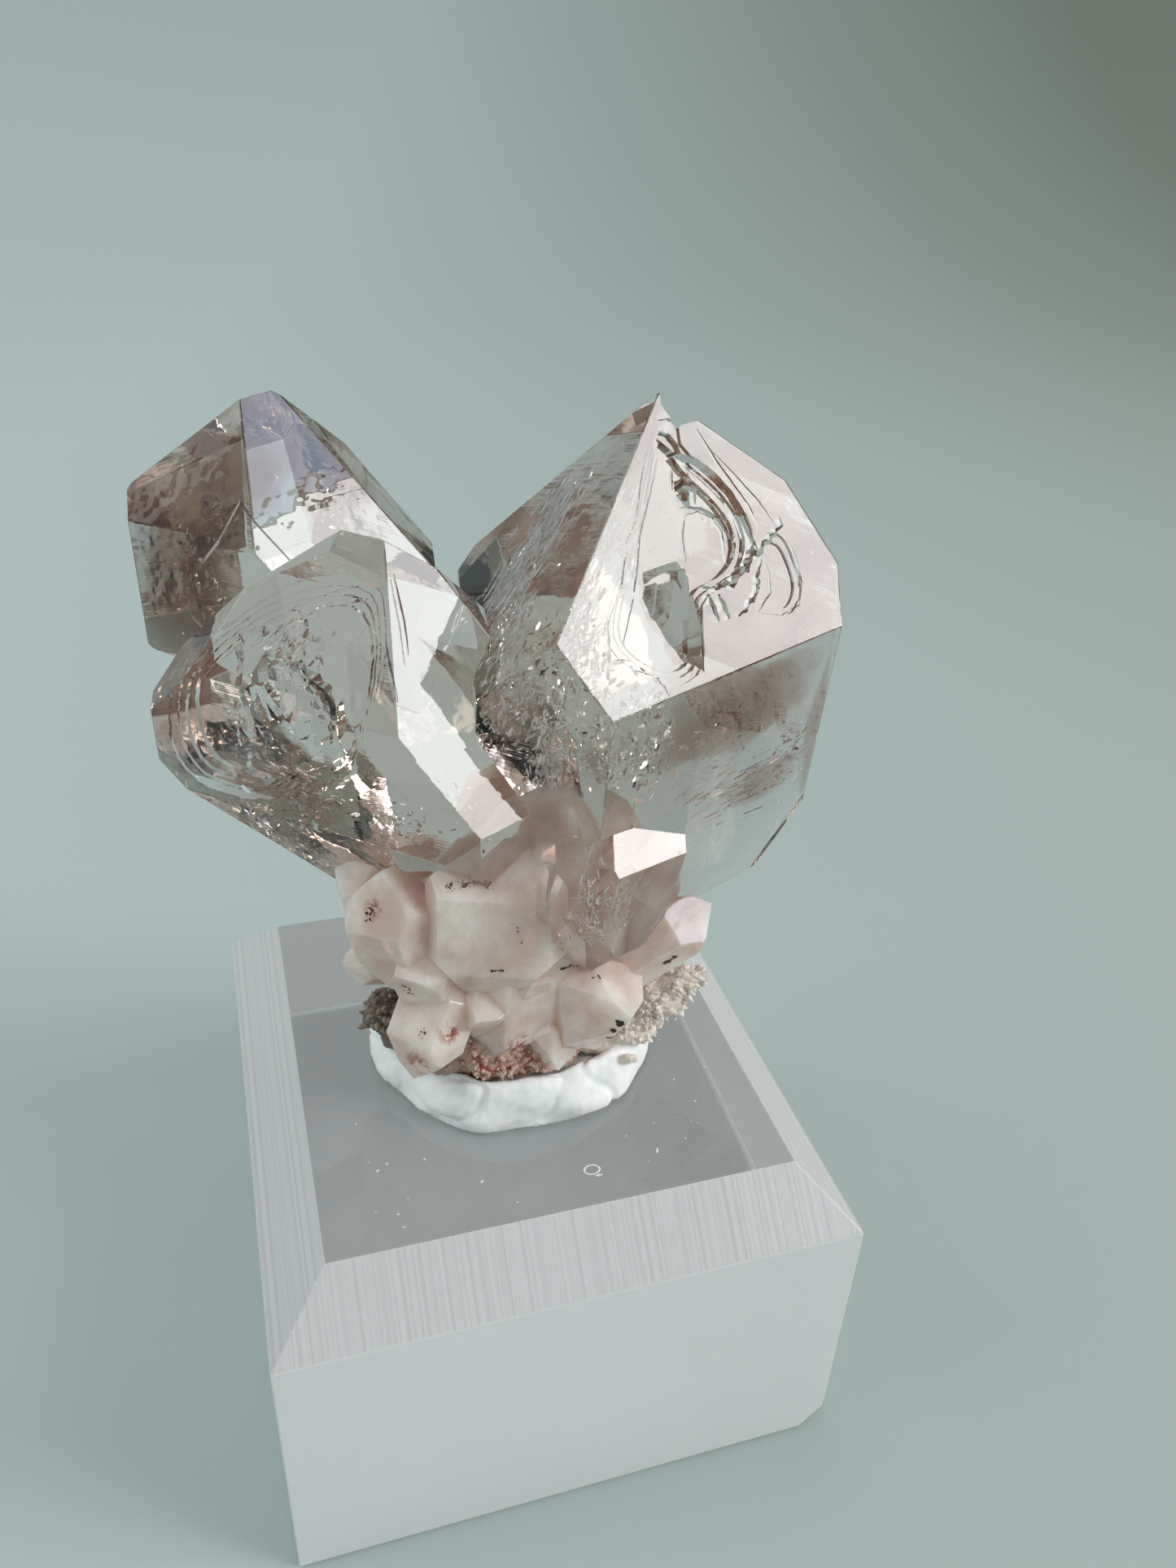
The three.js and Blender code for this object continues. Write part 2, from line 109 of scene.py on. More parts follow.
BACK_CRYSTAL = {
    "centre": (-11, 7, 58), "lean": 8.8, "towards": -126, "turn": -67,
    "faces": {"m1": 7.6, "m2": 7.2, "m3": 9.3, "m4": 11.5, "m5": 3.1, "s4": 10.7,
              "p0": 2.9, "p1": 6.0, "p2": 9.4, "p3": 10.1, "p4": 11.4, "p5": 5.0,
              "q0": 9.6, "q1": 11.3, "q2": 9.0, "q3": 9.4, "q4": 13.4, "q5": 5.6},
}
SIDE_CRYSTAL = {
    "centre": (-15.8, 6.5, 58.8), "lean": 8.8, "towards": -126, "turn": -67,
    "faces": {"m0": 3.6, "m2": 4.0, "m3": 4.0, "m4": 3.0, "m5": 0.5,
              "p0": 3.4, "p1": 4.0, "p3": 4.0, "p4": 1.9, "p5": 1.95,
              "q0": 2.2, "q2": 4.0, "q3": 4.0, "q4": 4.2, "q5": 2.6},
}
BRIGHT_CRYSTAL = {
    "centre": (4.5, -6.5, 42.5), "lean": 15.6, "towards": 14, "turn": -55,
    "faces": {"m0": 3.0, "m1": 4.4, "m2": 5.0, "m3": 5.0, "m4": 5.2, "m5": 5.1,
              "p0": 4.1, "p1": 5.7, "p2": 6.0, "p3": 1.9, "p5": 6.0,
              "q0": 4.6, "q1": 4.6, "q2": 6.0, "q3": 6.0, "q4": 5.0, "q5": 4.4},
}

# The base crystals: centre, lean, towards, turn, prism radius, and reach of the tip and the root.
HABIT = (1, 0.86, 1.12, 0.92, 1.08, 0.9)
WIDE_HABIT = (1, 1.5, 1.2, 1, 1.1, 1.55)
BASE_CRYSTALS = (
    ((-0.5, -1.5, 36), 4, 40, -80, 6.4, 12, 14),
    ((-2.3, -5.6, 39.8), 9, 68, -106, 2.9, 6.6, 6.5),
    ((1.6, -3.6, 42.8), 12, -30, -98, 3.4, 8, 8),
    ((-8.3, -3.9, 39.2), 14, -150, -68, 2.7, 5.6, 5.6),
    ((-9.6, -1.4, 40.2), 42, 178, -120, 1.6, 3.6, 5),
    ((-6.4, -4.8, 36.3), 66, -140, -60, 2.3, 4.4, 5),
    ((-9.7, -2.4, 35.4), 74, -170, -30, 1.4, 2.6, 5),
    ((-6.0, -5.6, 33.4), 146, -140, -85, 2.5, 5.5, 4.8),
    ((-3.3, -6.2, 33.8), 74, -112, -30, 1.9, 3.4, 5),
    ((-0.5, -6.4, 35.6), 62, -96, -20, 1.8, 3.0, 5),
    ((3.8, -6.4, 33.2), 76, -70, 20, 3.2, 5.2, 6),
    ((0.9, -6.2, 31.2), 118, -88, 10, 1.9, 3.8, 5),
    ((8.6, -4.8, 35.8), 52, -12, -70, 2.3, 5.4, 6),
    ((6.6, -2.6, 39.4), 28, -28, -52, 3.2, 6.2, 7),
    ((5.6, 3.4, 37.2), 48, 36, 60, 3.1, 6.6, 7),
    ((-1.6, 5.0, 38.0), 44, 98, 70, 3.3, 7.2, 7),
    ((-7.4, 2.6, 37.0), 52, 158, 120, 2.8, 5.8, 6),
    ((8.4, 0.6, 33.8), 76, 12, 20, 2.3, 4.4, 6),
    ((2.0, 5.6, 33.0), 78, 80, 40, 2.4, 4.8, 6),
    ((-5.6, 4.2, 32.6), 82, 132, 100, 2.2, 4.2, 6),
)
BROAD_FRONTED = 1

# Windows of skeletal growth: outlines across and up a face. Steps go from a rim to the floor within it, by
# share of the way and depth. The loop's floor has a share of the loop's size, and a depth.
RIGHT_STEPS = ((0, 0.14), (0.5, 0.4), (1, 0.75))
LEFT_STEPS = ((0, 0.2), (0.35, 0.4), (0.65, 0.7), (1, 1.1))
WELL_DEPTH = 1.5
LOOP_DEPTH = 0.12
LOOP_FLOOR = (0.8, 0.26)
NOTCH_DEPTH = 2.4
# How far a window's cutter starts below an edge that it crosses, and how far it stands out of the face.
CUTTER_UNDER_EDGE = 3
CUTTER_OVER_FACE = 4
# A pit's tip and root lie this many times its radius from its middle.
PIT_REACH = 3.4
RIGHT_RIM = ((0.4, 12.4), (-1.9, 9.9), (-4.8, 5.9), (-6.9, 3.6), (-8.0, 1.8), (-7.5, 0.4), (-5.2, -1.8),
             (-2.4, -1.7), (-1.2, 1.0), (-0.4, 2.1), (1.7, 2.3), (3.6, 3.0), (4.5, 4.6), (4.4, 6.0),
             (3.7, 7.8), (2.5, 9.4), (1.4, 10.6), (1.6, 11.9))
RIGHT_FLOOR = ((0.2, 11.2), (-1.4, 9.2), (-4.0, 5.6), (-6.0, 3.2), (-6.8, 1.7), (-6.2, 0.2), (-4.4, -1.2),
               (-2.6, -0.9), (-1.9, 1.2), (-0.8, 2.6), (1.6, 3.0), (3.1, 4.0), (3.4, 5.6), (2.6, 7.4),
               (1.3, 9.2))
RIGHT_WELL = ((-3.7, 3.9), (-2.2, 4.2), (-0.6, 4.1), (-0.9, 2.6), (-1.4, 0.6), (-2.4, -1.9), (-3.3, -0.2),
              (-3.7, 0.9), (-4.1, 2.1), (-4.2, 3.2))
# Pits with crystal faces of their own: middle across, up and under the face, and radius.
RIGHT_PITS = (
    ((-1.9, 2.4, -1.2), 1.1),
    ((-3.0, 2.9, -1.3), 0.8),
    ((-2.5, 0.9, -1.4), 0.75),
    ((-2.9, 0.2, -1.1), 0.5),
    ((1.0, 8.0, -0.9), 0.5),
)
RIGHT_LOOP = ((5.4, 4.4), (6.7, 3.8), (7.0, 1.8), (6.6, 0.3), (5.2, -0.6), (3.2, 0.2), (1.6, 0.3),
              (3.4, 1.3), (4.4, 3.2))
RIGHT_NOTCH = ((0.9, 13.3), (1.3, 12.2), (1.6, 11.7), (2.1, 11.8), (3.3, 11.8), (4.0, 13.6), (1.8, 15))
# Growth contours and cracks on the right crystal's face: path, width, depth and how jagged.
RIGHT_CONTOURS = (
    (((0.1, 11.4), (0.9, 10.4), (2.1, 9.5), (3.0, 8.5), (3.7, 7.4), (4.1, 5.8), (4.4, 3.7)), 0.5, 1.15, 0.03),
    (((0.5, 8.2), (1.4, 8.4), (1.9, 8.1), (1.6, 7.4)), 0.3, 1.3, 0.05),
    (((0.5, 7.4), (1.7, 7.1), (2.8, 6.3), (3.1, 5.4), (3.4, 4.8)), 0.26, 1.4, 0.04),
    (((0.3, 8.5), (0.8, 9.6)), 0.1, 1.2, 0.02),
    (((0.3, 8.5), (1.6, 9.2)), 0.1, 1.2, 0.02),
    (((-0.2, 2.7), (0.6, 2.2), (2.0, 2.4), (3.1, 2.9), (3.8, 3.6), (4.9, 3.6), (6.2, 4.2), (7.0, 4.9)),
     0.46, 0.9, 0.2),
    (((4.8, 3.4), (3.9, 2.1), (3.3, 1.2), (2.1, 0.6), (1.4, 0.4)), 0.4, 0.8, 0.16),
    (((-0.2, 2.2), (-0.1, 0.5)), 0.36, 0.9, 0.05),
    (((0.5, 2.0), (0.7, 0.4)), 0.34, 0.9, 0.05),
    (((4.9, 2.8), (5.0, 2.2), (4.6, 1.0), (3.1, 0.2)), 0.12, 0.4, 0.03),
    (((6.8, 3.9), (7.2, 2.7), (7.0, 0.9), (6.2, -0.3), (4.6, -0.5), (3.1, 0.1)), 0.1, 0.3, 0.02),
    (((3.3, 10.1), (4.6, 8.2), (5.7, 6.4), (6.3, 4.9), (6.6, 4.5)), 0.09, 0.16, 0.01),
    (((2.9, 11.4), (3.6, 9.2), (4.3, 7.6), (4.9, 6.2), (5.1, 4.8)), 0.12, 0.3, 0.01),
    (((-1.2, 10.8), (-2.3, 9.1), (-3.3, 7.5), (-4.4, 6.5), (-5.9, 4.1), (-7.4, 2.6), (-7.9, 1.4),
      (-7.5, 0.3)), 0.1, 0.3, 0.02),
    (((0.0, 10.4), (-0.8, 9.3), (-1.6, 8.3), (-2.9, 6.7), (-3.8, 5.1), (-4.7, 3.6), (-5.6, 2.4), (-6.6, 1.1)),
     0.1, 0.95, 0.02),
    (((0.6, 6.9), (1.6, 6.9), (2.5, 6.3), (2.9, 5.3), (2.4, 3.4)), 0.1, 1.1, 0.02),
    (((0.6, 6.9), (-0.1, 5.7), (-0.4, 4.4)), 0.12, 1.1, 0.02),
    (((-6.8, -0.3), (-5.5, -1.2), (-5.2, -2.4)), 0.1, 0.3, 0.03),
    (((-7.9, 0.6), (-6.7, 0.2), (-6.2, -0.6), (-5.0, -0.9)), 0.1, 0.25, 0.06),
)
LEFT_RIM = ((-12.6, 0.7), (-11.4, 4.0), (-8.7, 7.2), (-5.9, 9.6), (-2.7, 10.6), (-1.2, 10.4),
            (-0.3, 8.6), (0.4, 6.0), (0.4, 3.8), (-0.5, 0.9), (-2.0, -1.6), (-5.4, -3.7), (-8.8, -4.7),
            (-11.4, -4.3), (-12.8, -2.4))
LEFT_LEDGE = ((-11.2, 1.5), (-9.7, 4.6), (-7.5, 6.9), (-4.6, 8.4), (-2.2, 8.6), (-1.0, 7.0),
              (-0.5, 4.9), (-0.6, 2.6), (-1.9, 0.0), (-5.3, -2.2), (-8.6, -3.0), (-10.8, -2.2))

# The hopper's bowl: its middle across, up and over the face, and its half sizes. Then the pits along it.
LEFT_BOWL = ((-5.0, 2.6, 3.4), (5.9, 5.5, 6.0))
LEFT_CHANNEL = (
    ((-7.0, 4.2, -2.0), 0.75),
    ((-6.1, 3.6, -2.4), 0.85),
    ((-5.1, 2.6, -2.6), 0.9),
    ((-4.2, 1.5, -2.5), 0.8),
    ((-3.6, 0.4, -2.3), 0.6),
    ((-1.2, 3.9, -1.7), 0.6),
    ((-1.7, 2.4, -1.8), 0.7),
    ((-2.4, 1.4, -1.9), 0.5),
    ((-8.0, 0.8, -1.6), 0.6),
    ((-7.0, -1.6, -1.8), 0.5),
    ((-5.2, -2.0, -1.8), 0.6),
    ((-3.2, -1.5, -1.8), 0.55),
)
# Cracks and ledges in the hopper: outline, depth and how jagged.
LEFT_PITS = (
    (((-7.3, 4.8), (-5.5, 4.6), (-4.2, 4.2), (-3.2, 3.7), (-2.7, 2.2), (-2.9, 0.9), (-4.1, -0.1), (-4.8, 1.0),
      (-5.4, 2.4), (-6.5, 3.5)), 2.5, 0.16),
    (((-7.8, 3.1), (-6.9, 2.3), (-6.4, 1.3), (-6.8, 0.5), (-7.5, 1.8)), 3.0, 0.03),
    (((-8.4, 2.2), (-8.1, 1.1), (-7.9, -0.7), (-8.5, -0.2), (-8.7, 1.0)), 2.2, 0.03),
    (((-8.4, -1.8), (-6.1, -2.0), (-4.2, -1.9), (-1.9, -0.6), (-0.9, 0.6), (-0.9, -0.3), (-2.0, -1.8),
      (-4.3, -2.9), (-6.9, -3.3), (-8.5, -2.8)), 1.6, 0.12),
)
LEFT_CONTOURS = (
    (((-7.5, 6.7), (-6.0, 8.0), (-4.1, 9.3), (-2.6, 9.9)), 0.14, 1.2, 0.05),
    (((-7.4, 5.9), (-6.3, 7.0), (-4.6, 8.3), (-2.1, 9.2)), 0.14, 1.6, 0.05),
    (((-9.3, 4.9), (-8.9, 4.0), (-8.7, 2.7)), 0.12, 2.2, 0.04),
    (((-6.6, 4.3), (-5.4, 3.7), (-4.6, 2.6), (-4.0, 1.2)), 0.16, 3.7, 0.1),
    (((-5.8, 4.4), (-4.4, 3.3), (-3.5, 2.0), (-3.2, 1.2)), 0.16, 3.6, 0.1),
)
# On the left crystal's bright face: two contours beside its edge, and low steps across its foot.
LEFT_FACE_CONTOURS = (
    (((-0.5, 10.3), (-1.3, 7.6), (-2.0, 4.9), (-2.4, 2.9)), 0.12, 0.35, 0.01),
    (((0.3, 9.6), (-0.2, 6.8), (-0.7, 5.1)), 0.12, 0.3, 0.01),
    (((0.0, 9.4), (-0.6, 6.6), (-1.2, 4.6)), 0.08, 0.2, 0.01),
)
LEFT_TREADS = (-0.9, -2.1, -3.2, -4.2, -5.3, -6.6)
TREAD_DEPTH = 0.03
TREAD_SLOPE = 2.5
TREAD_SLANT = 0.16

# Where the crystals are cracked inside: middle, spread, the way the cracks run and how much they stray,
# how many, and their length and width.
CRACK_THICKNESS = 0.03
VEIL_THICKNESS = 0.02
# Flakes and smoke stay at least this far under the faces.
FLAKE_DEPTH = 0.1
SMOKE_DEPTH = 0.12
FRACTURES = (
    ((2.0, 3.6, 58.4), (2.2, 3.0, 4.6), (19, 42), 0.45, 230, 1.1, 0.3),
    ((4.6, 5.0, 62.6), (1.6, 2.0, 3.0), (19, 42), 0.35, 110, 0.9, 0.24),
    ((1.3, 0.6, 55.4), (1.9, 2.4, 3.0), (19, 42), 0.7, 170, 0.8, 0.36),
    ((2.8, -3.6, 55.6), (1.6, 1.8, 3.4), (19, 42), 0.9, 130, 0.6, 0.3),
    ((5.8, -5.2, 52.2), (1.9, 1.6, 3.0), (19, 50), 1.2, 230, 0.65, 0.4),
    ((14.4, -3.0, 46.6), (4.2, 1.2, 2.2), (-8, 74), 0.18, 190, 1.2, 0.14),
    ((17.8, -2.0, 47.6), (2.0, 1.0, 2.4), (-8, 66), 0.6, 110, 0.6, 0.24),
    ((12.2, -2.0, 51.0), (4.4, 2.4, 3.0), (-8, 74), 0.9, 90, 0.4, 0.2),
    ((-16.4, 2.2, 51.2), (3.0, 1.8, 2.4), (150, 60), 0.9, 200, 0.6, 0.3),
    ((-12.6, 0.8, 47.2), (3.6, 1.6, 2.0), (160, 74), 0.8, 150, 0.7, 0.28),
    ((-6.6, -2.2, 46.6), (3.0, 1.4, 1.6), (170, 70), 0.9, 100, 0.45, 0.24),
    ((-0.6, 1.6, 50.4), (1.4, 1.8, 3.4), (30, 30), 0.8, 70, 0.6, 0.3),
    ((-12.4, 3.6, 55.4), (2.4, 1.6, 2.2), (30, 50), 0.9, 90, 0.6, 0.3),
    ((2.4, -2.6, 49.4), (1.8, 1.6, 2.8), (30, 30), 0.9, 150, 0.6, 0.3),
    ((-16.6, 9.6, 58.0), (2.4, 1.6, 4.0), (19, 50), 1.0, 60, 0.5, 0.24),
    ((-9.6, 9.6, 61.4), (1.8, 1.4, 2.0), (19, 50), 0.9, 40, 0.4, 0.24),
    ((3.0, -7.4, 42.2), (1.2, 1.2, 2.4), (30, 40), 0.9, 90, 0.45, 0.2),
)
# Cloudy veils, given in the same way.
VEILS = (
    ((1.6, 3.4, 58.0), (2.0, 2.4, 4.6), (19, 42), 0.25, 300, 1.3, 0.2),
    ((-0.6, 1.2, 50.2), (1.6, 1.8, 3.2), (30, 30), 0.8, 110, 0.6, 0.14),
    ((4.8, 4.0, 61.4), (1.8, 2.0, 4.2), (19, 42), 0.25, 240, 1.2, 0.2),
    ((1.0, -1.6, 55.6), (1.8, 1.6, 3.4), (19, 42), 0.6, 170, 0.7, 0.18),
    ((5.9, -5.0, 52.0), (1.7, 1.4, 2.8), (19, 50), 1.0, 110, 0.5, 0.12),
    ((15.0, -3.0, 46.4), (3.8, 1.0, 2.0), (-8, 74), 0.1, 120, 1.2, 0.05),
    ((18.2, -2.0, 48.0), (1.4, 0.8, 2.4), (-8, 66), 0.4, 50, 0.6, 0.07),
    ((-15.4, 2.4, 50.8), (3.2, 1.8, 2.8), (150, 60), 0.9, 100, 0.5, 0.1),
    ((-12.6, 0.6, 47.4), (3.4, 1.4, 1.6), (160, 74), 0.6, 80, 0.6, 0.08),
    ((-13.8, 4.0, 55.2), (3.4, 1.4, 1.6), (19, 60), 0.25, 60, 1.0, 0.06),
    ((2.3, -3.4, 51.2), (1.8, 1.4, 3.8), (30, 30), 0.8, 240, 0.7, 0.15),
    ((3.4, -7.6, 42.0), (1.5, 1.3, 3.0), (30, 40), 0.8, 100, 0.7, 0.1),
    ((10.4, -4.0, 49.6), (2.6, 1.2, 2.6), (-8, 74), 0.5, 90, 0.7, 0.08),
)
# Smoky patches: middle, half sizes, and the azimuth and lean of their long way.
SMOKE = (
    ((-18.0, 10.2, 59.0), (2.8, 2.6, 5.0), (19, 14)),
    ((-14.6, 10.4, 63.6), (2.4, 2.2, 3.4), (19, 50)),
    ((-18.2, 11.2, 56.2), (3.2, 3.2, 4.0), (19, 10)),
    ((-19.2, 3.4, 50.4), (2.3, 2.0, 3.0), (19, 30)),
    ((-14.2, 1.0, 47.2), (1.4, 1.6, 4.6), (165, 80)),
    ((1.4, 8.4, 60.6), (1.0, 1.8, 5.6), (19, 45)),
    ((19.8, -1.6, 49.0), (0.8, 1.4, 5.0), (-100, 8)),
    ((12.4, -2.0, 52.4), (3.0, 2.4, 6.0), (-8, 74)),
    ((16.4, -2.4, 46.4), (1.4, 1.6, 3.4), (-8, 74)),
)
# Black iron oxide on the base crystals: middle, reach of the patch, how many grains and their size.
OXIDE = (
    ((-4.4, -6.7, 43.95), (1.4, 0.3, 0.06), 46, 0.05),
    ((-5.5, -6.5, 43.75), (0.2, 0.2, 0.26), 10, 0.045),
    ((-3.3, -7.2, 44.0), (0.16, 0.2, 0.3), 12, 0.045),
    ((-4.3, -6.8, 44.0), (0.5, 0.2, 0.2), 14, 0.04),
    ((8.8, -7.1, 35.6), (0.26, 0.1, 0.16), 26, 0.1),
    ((9.3, -7.2, 35.95), (0.2, 0.1, 0.16), 12, 0.08),
    ((4.7, -10.2, 33.9), (0.28, 0.12, 0.18), 30, 0.1),
    ((4.25, -10.1, 33.2), (0.12, 0.1, 0.12), 4, 0.14),
    ((4.2, -9.6, 32.2), (0.14, 0.1, 0.1), 5, 0.1),
    ((-3.0, -8.7, 38.5), (0.45, 0.1, 0.05), 12, 0.07),
    ((2.0, -7.6, 36.9), (0.8, 0.1, 0.08), 16, 0.08),
    ((3.6, -8.4, 36.6), (0.4, 0.1, 0.08), 7, 0.07),
    ((-9.8, -4.8, 41.2), (0.4, 0.2, 0.5), 12, 0.08),
    ((-8.2, -6.4, 36.6), (0.3, 0.2, 0.6), 10, 0.08),
    ((-1.8, -8.4, 41.0), (0.5, 0.2, 0.7), 6, 0.05),
    ((1.0, -8.4, 39.4), (0.4, 0.2, 0.8), 6, 0.05),
    ((-7.6, -7.6, 33.4), (0.3, 0.2, 0.5), 8, 0.06),
)
# Rust on the base crystals: middle, and reach.
RUST = (
    ((-1.5, -8.0, 31.4), 1.5),
    ((-6.0, -8.0, 33.6), 1.0),
    ((-7.8, -7.8, 31.2), 1.3),
    ((0.6, -8.0, 30.0), 1.2),
    ((-9.8, -5.0, 41.8), 0.8),
)
# Patches of little quartz points on the crust: middle, reach, how many, their length and the way they point.
DRUSE = (
    ((9.4, -6.0, 31.4), (2.0, 1.2, 1.4), 110, 0.75, (0.4, -0.7, 0.3)),
    ((11.2, -5.9, 32.7), (1.4, 0.9, 1.0), 90, 0.8, (0.5, -0.5, 0.5)),
    ((7.4, -6.2, 29.6), (1.8, 1.2, 1.2), 60, 0.6, (0.3, -0.8, 0.3)),
    ((-9.4, -2.6, 30.9), (1.6, 1.6, 1.4), 90, 0.8, (-0.6, -0.5, 0.4)),
    ((-5.2, -6.0, 29.6), (1.6, 1.2, 1.0), 40, 0.5, (-0.3, -0.8, 0.4)),
    ((-1.8, -7.6, 29.8), (2.8, 1.0, 1.2), 110, 0.6, (0.0, -0.9, 0.3)),
)
# Dust on the block's top: middle, reach, how many. It stays clear of the putty and the block's edges.
DUST = (((3.0, -12.6), (7.0, 4.0), 18), ((-8.0, -11.0), (5.0, 5.0), 14), ((12.0, -6.0), (3.0, 6.0), 10))
DUST_FROM_PUTTY = 10.8
DUST_FROM_EDGE = 0.5
RING_MARK = (2.1, -13.8)

# The paper floor in metres: its flat radius, then steps round its curve, each turned by some degrees.
FLOOR_RADIUS = 0.4
CURVE_STEP = 0.07
CURVE_STEPS = 16
CURVE_TURN = 4

# The putty: its middle, its edge's distance every 30 degrees, and its section by share of radius and height.
PUTTY_SIDES = 90
PUTTY_CENTRE = (-0.5, -2)
PUTTY_RADII = (10.4, 10.2, 9.8, 9.6, 9.8, 10.4, 9.7, 8.6, 8.4, 8.0, 8.5, 9.8)
PUTTY_SECTION = ((0.97, 0), (1, 0.5), (1, 1.4), (0.96, 2.4), (0.9, 3.3), (0.83, 3.8), (0.76, 3.5),
                 (0.7, 2.6), (0.5, 2.2))

# The crust: the size of its grains, and its lumps by centre and half sizes.
CRUST_GRAIN = 0.22
CRUST_LUMPS = (
    ((-0.5, -2.0, 28.0), (6.6, 5.6, 1.0)),
    ((-2.2, -6.6, 29.9), (3.2, 1.7, 2.0)),
    ((-5.2, -5.2, 29.0), (2.2, 1.8, 1.5)),
    ((1.0, -6.4, 28.6), (2.4, 1.5, 1.2)),
    ((4.6, -4.4, 28.4), (2.6, 2.4, 1.3)),
    ((7.2, -5.0, 29.0), (2.3, 2.1, 1.7)),
    ((9.2, -5.4, 30.8), (1.9, 1.5, 1.6)),
    ((10.6, -5.5, 32.2), (1.7, 1.2, 1.1)),
    ((-7.0, -2.0, 28.6), (2.6, 2.2, 1.6)),
    ((-9.0, -1.5, 30.4), (1.6, 1.7, 1.6)),
    ((6.4, -7.5, 27.7), (0.8, 0.45, 0.55)),
    ((-4.4, 4.0, 29.6), (2.6, 2.0, 1.7)),
    ((3.6, 4.6, 29.4), (2.6, 2.2, 1.6)),
)


def camera_and_lights():
    camera = bpy.data.objects.new("camera", bpy.data.cameras.new("camera"))
    bpy.context.scene.collection.objects.link(camera)
    camera.data.sensor_fit = "HORIZONTAL"
    camera.data.sensor_width = FILM_WIDTH
    camera.data.lens = FILM_WIDTH * PHOTO_FOCAL_LENGTH / PHOTO_WIDTH
    camera.data.clip_start = 0.002
    right = Vector(CAMERA_RIGHT).normalized()
    back = -Vector(CAMERA_AHEAD).normalized()
    up = back.cross(right).normalized()
    camera.matrix_world = placed(Vector(CAMERA_PLACE) * MM, up.cross(back), up, back)
    bpy.context.scene.camera = camera
    for row in LIGHTS:
        softbox(*row)
    bpy.context.scene.view_settings.view_transform = "Standard"
    studio_air()


def studio_air():
    """The room's own light: pale to the back and left, dim behind the camera."""
    world = bpy.data.worlds.new("studio")
    bpy.context.scene.world = world
    world.use_nodes = True
    tree = world.node_tree
    way = add(tree, "TexCoord").outputs["Generated"]
    side = add(tree, "VectorMath", {"operation": "DOT_PRODUCT", 1: PALE_SIDE}, {0: way})
    share = add(tree, "MapRange", {"From Min": -1, "From Max": 1}, {"Value": side.outputs["Value"]})
    shade = add(tree, "ValToRGB", links={"Fac": share})
    mark(shade, (0.06, "#8A8079"), (0.7, "#DDE4E4"))
    background = tree.nodes["Background"].inputs
    tree.links.new(shade.outputs["Color"], background["Color"])
    background["Strength"].default_value = ROOM_STRENGTH


def softbox(name, azimuth, height, distance, width, tall, power, tint):
    light = bpy.data.objects.new(name, bpy.data.lights.new(name, "AREA"))
    bpy.context.scene.collection.objects.link(light)
    light.data.shape = "RECTANGLE"
    light.data.size = width
    light.data.size_y = tall
    light.data.energy = power
    light.data.color = linear(tint)
    way = direction(azimuth, 90 - height)
    place = Vector((0, 0, LIT_MIDDLE)) * MM + way * distance
    light.matrix_world = Matrix.Translation(place) @ way.to_track_quat("Z", "Y").to_matrix().to_4x4()


def linear(code):
    channels = [int(code[i:i + 2], 16) / 255 for i in (1, 3, 5)]
    return tuple(c / 12.92 if c <= 0.04045 else ((c + 0.055) / 1.055) ** 2.4 for c in channels)


def direction(azimuth, lean):
    a = math.radians(azimuth)
    t = math.radians(lean)
    return Vector((math.sin(t) * math.cos(a), math.sin(t) * math.sin(a), math.cos(t)))


def placed(at, x, y, z):
    """The matrix that puts a piece at a place, its own x, y and z along three ways."""
    return Matrix.Translation(at) @ Matrix((x, y, z)).transposed().to_4x4()


def deselect():
    if bpy.context.object and bpy.context.object.mode != "OBJECT":
        bpy.ops.object.mode_set(mode="OBJECT")
    bpy.ops.object.select_all(action="DESELECT")


def pick(piece):
    deselect()
    piece.select_set(True)
    bpy.context.view_layer.objects.active = piece


def fix_place(piece):
    pick(piece)
    bpy.ops.object.transform_apply(location=True, rotation=True, scale=True)
    return piece


def sheet(sides, radius=1):
    """A flat sheet, to raise into a solid."""
    deselect()
    bpy.ops.mesh.primitive_circle_add(vertices=sides, radius=radius, fill_type="NGON")
    return bpy.context.object


def raised(piece, steps):
    """Draws a sheet out into a closed solid, by each step's move and its share of the size before."""
    bpy.ops.object.mode_set(mode="EDIT")
    bpy.ops.mesh.select_all(action="SELECT")
    for move, share in steps:
        bpy.ops.mesh.extrude_region_move(TRANSFORM_OT_translate={"value": move})
        if share:
            bpy.ops.transform.resize(value=(share, share, 1))
    bpy.ops.mesh.select_all(action="SELECT")
    bpy.ops.mesh.normals_make_consistent(inside=False)
    bpy.ops.object.mode_set(mode="OBJECT")
    return piece


def round_lump(subdivisions, place=(0, 0, 0)):
    deselect()
    bpy.ops.mesh.primitive_ico_sphere_add(subdivisions=subdivisions, radius=1, location=place)
    return bpy.context.object


def copy_of(piece, name):
    twin = piece.copy()
    twin.data = piece.data.copy()
    twin.name = name
    bpy.context.scene.collection.objects.link(twin)
    return twin


def modify(piece, kind, **settings):
    modifier = piece.modifiers.new(kind.lower(), kind)
    for key, value in settings.items():
        setattr(modifier, key, value)
    pick(piece)
    bpy.ops.object.modifier_apply(modifier=modifier.name)


def wear(piece, width, from_angle):
    """Wears a piece's sharp edges slightly round."""
    modify(piece, "BEVEL", width=width, segments=2, limit_method="ANGLE",
           angle_limit=math.radians(from_angle))


def combine(piece, other, operation, use_self=False):
    modify(piece, "BOOLEAN", operation=operation, solver="EXACT", use_self=use_self, object=other)
    bpy.data.objects.remove(other)


def merge(pieces, name):
    deselect()
    for part in pieces:
        part.select_set(True)
    bpy.context.view_layer.objects.active = pieces[0]
    if len(pieces) > 1:
        bpy.ops.object.join()
    pieces[0].name = name
    return pieces[0]


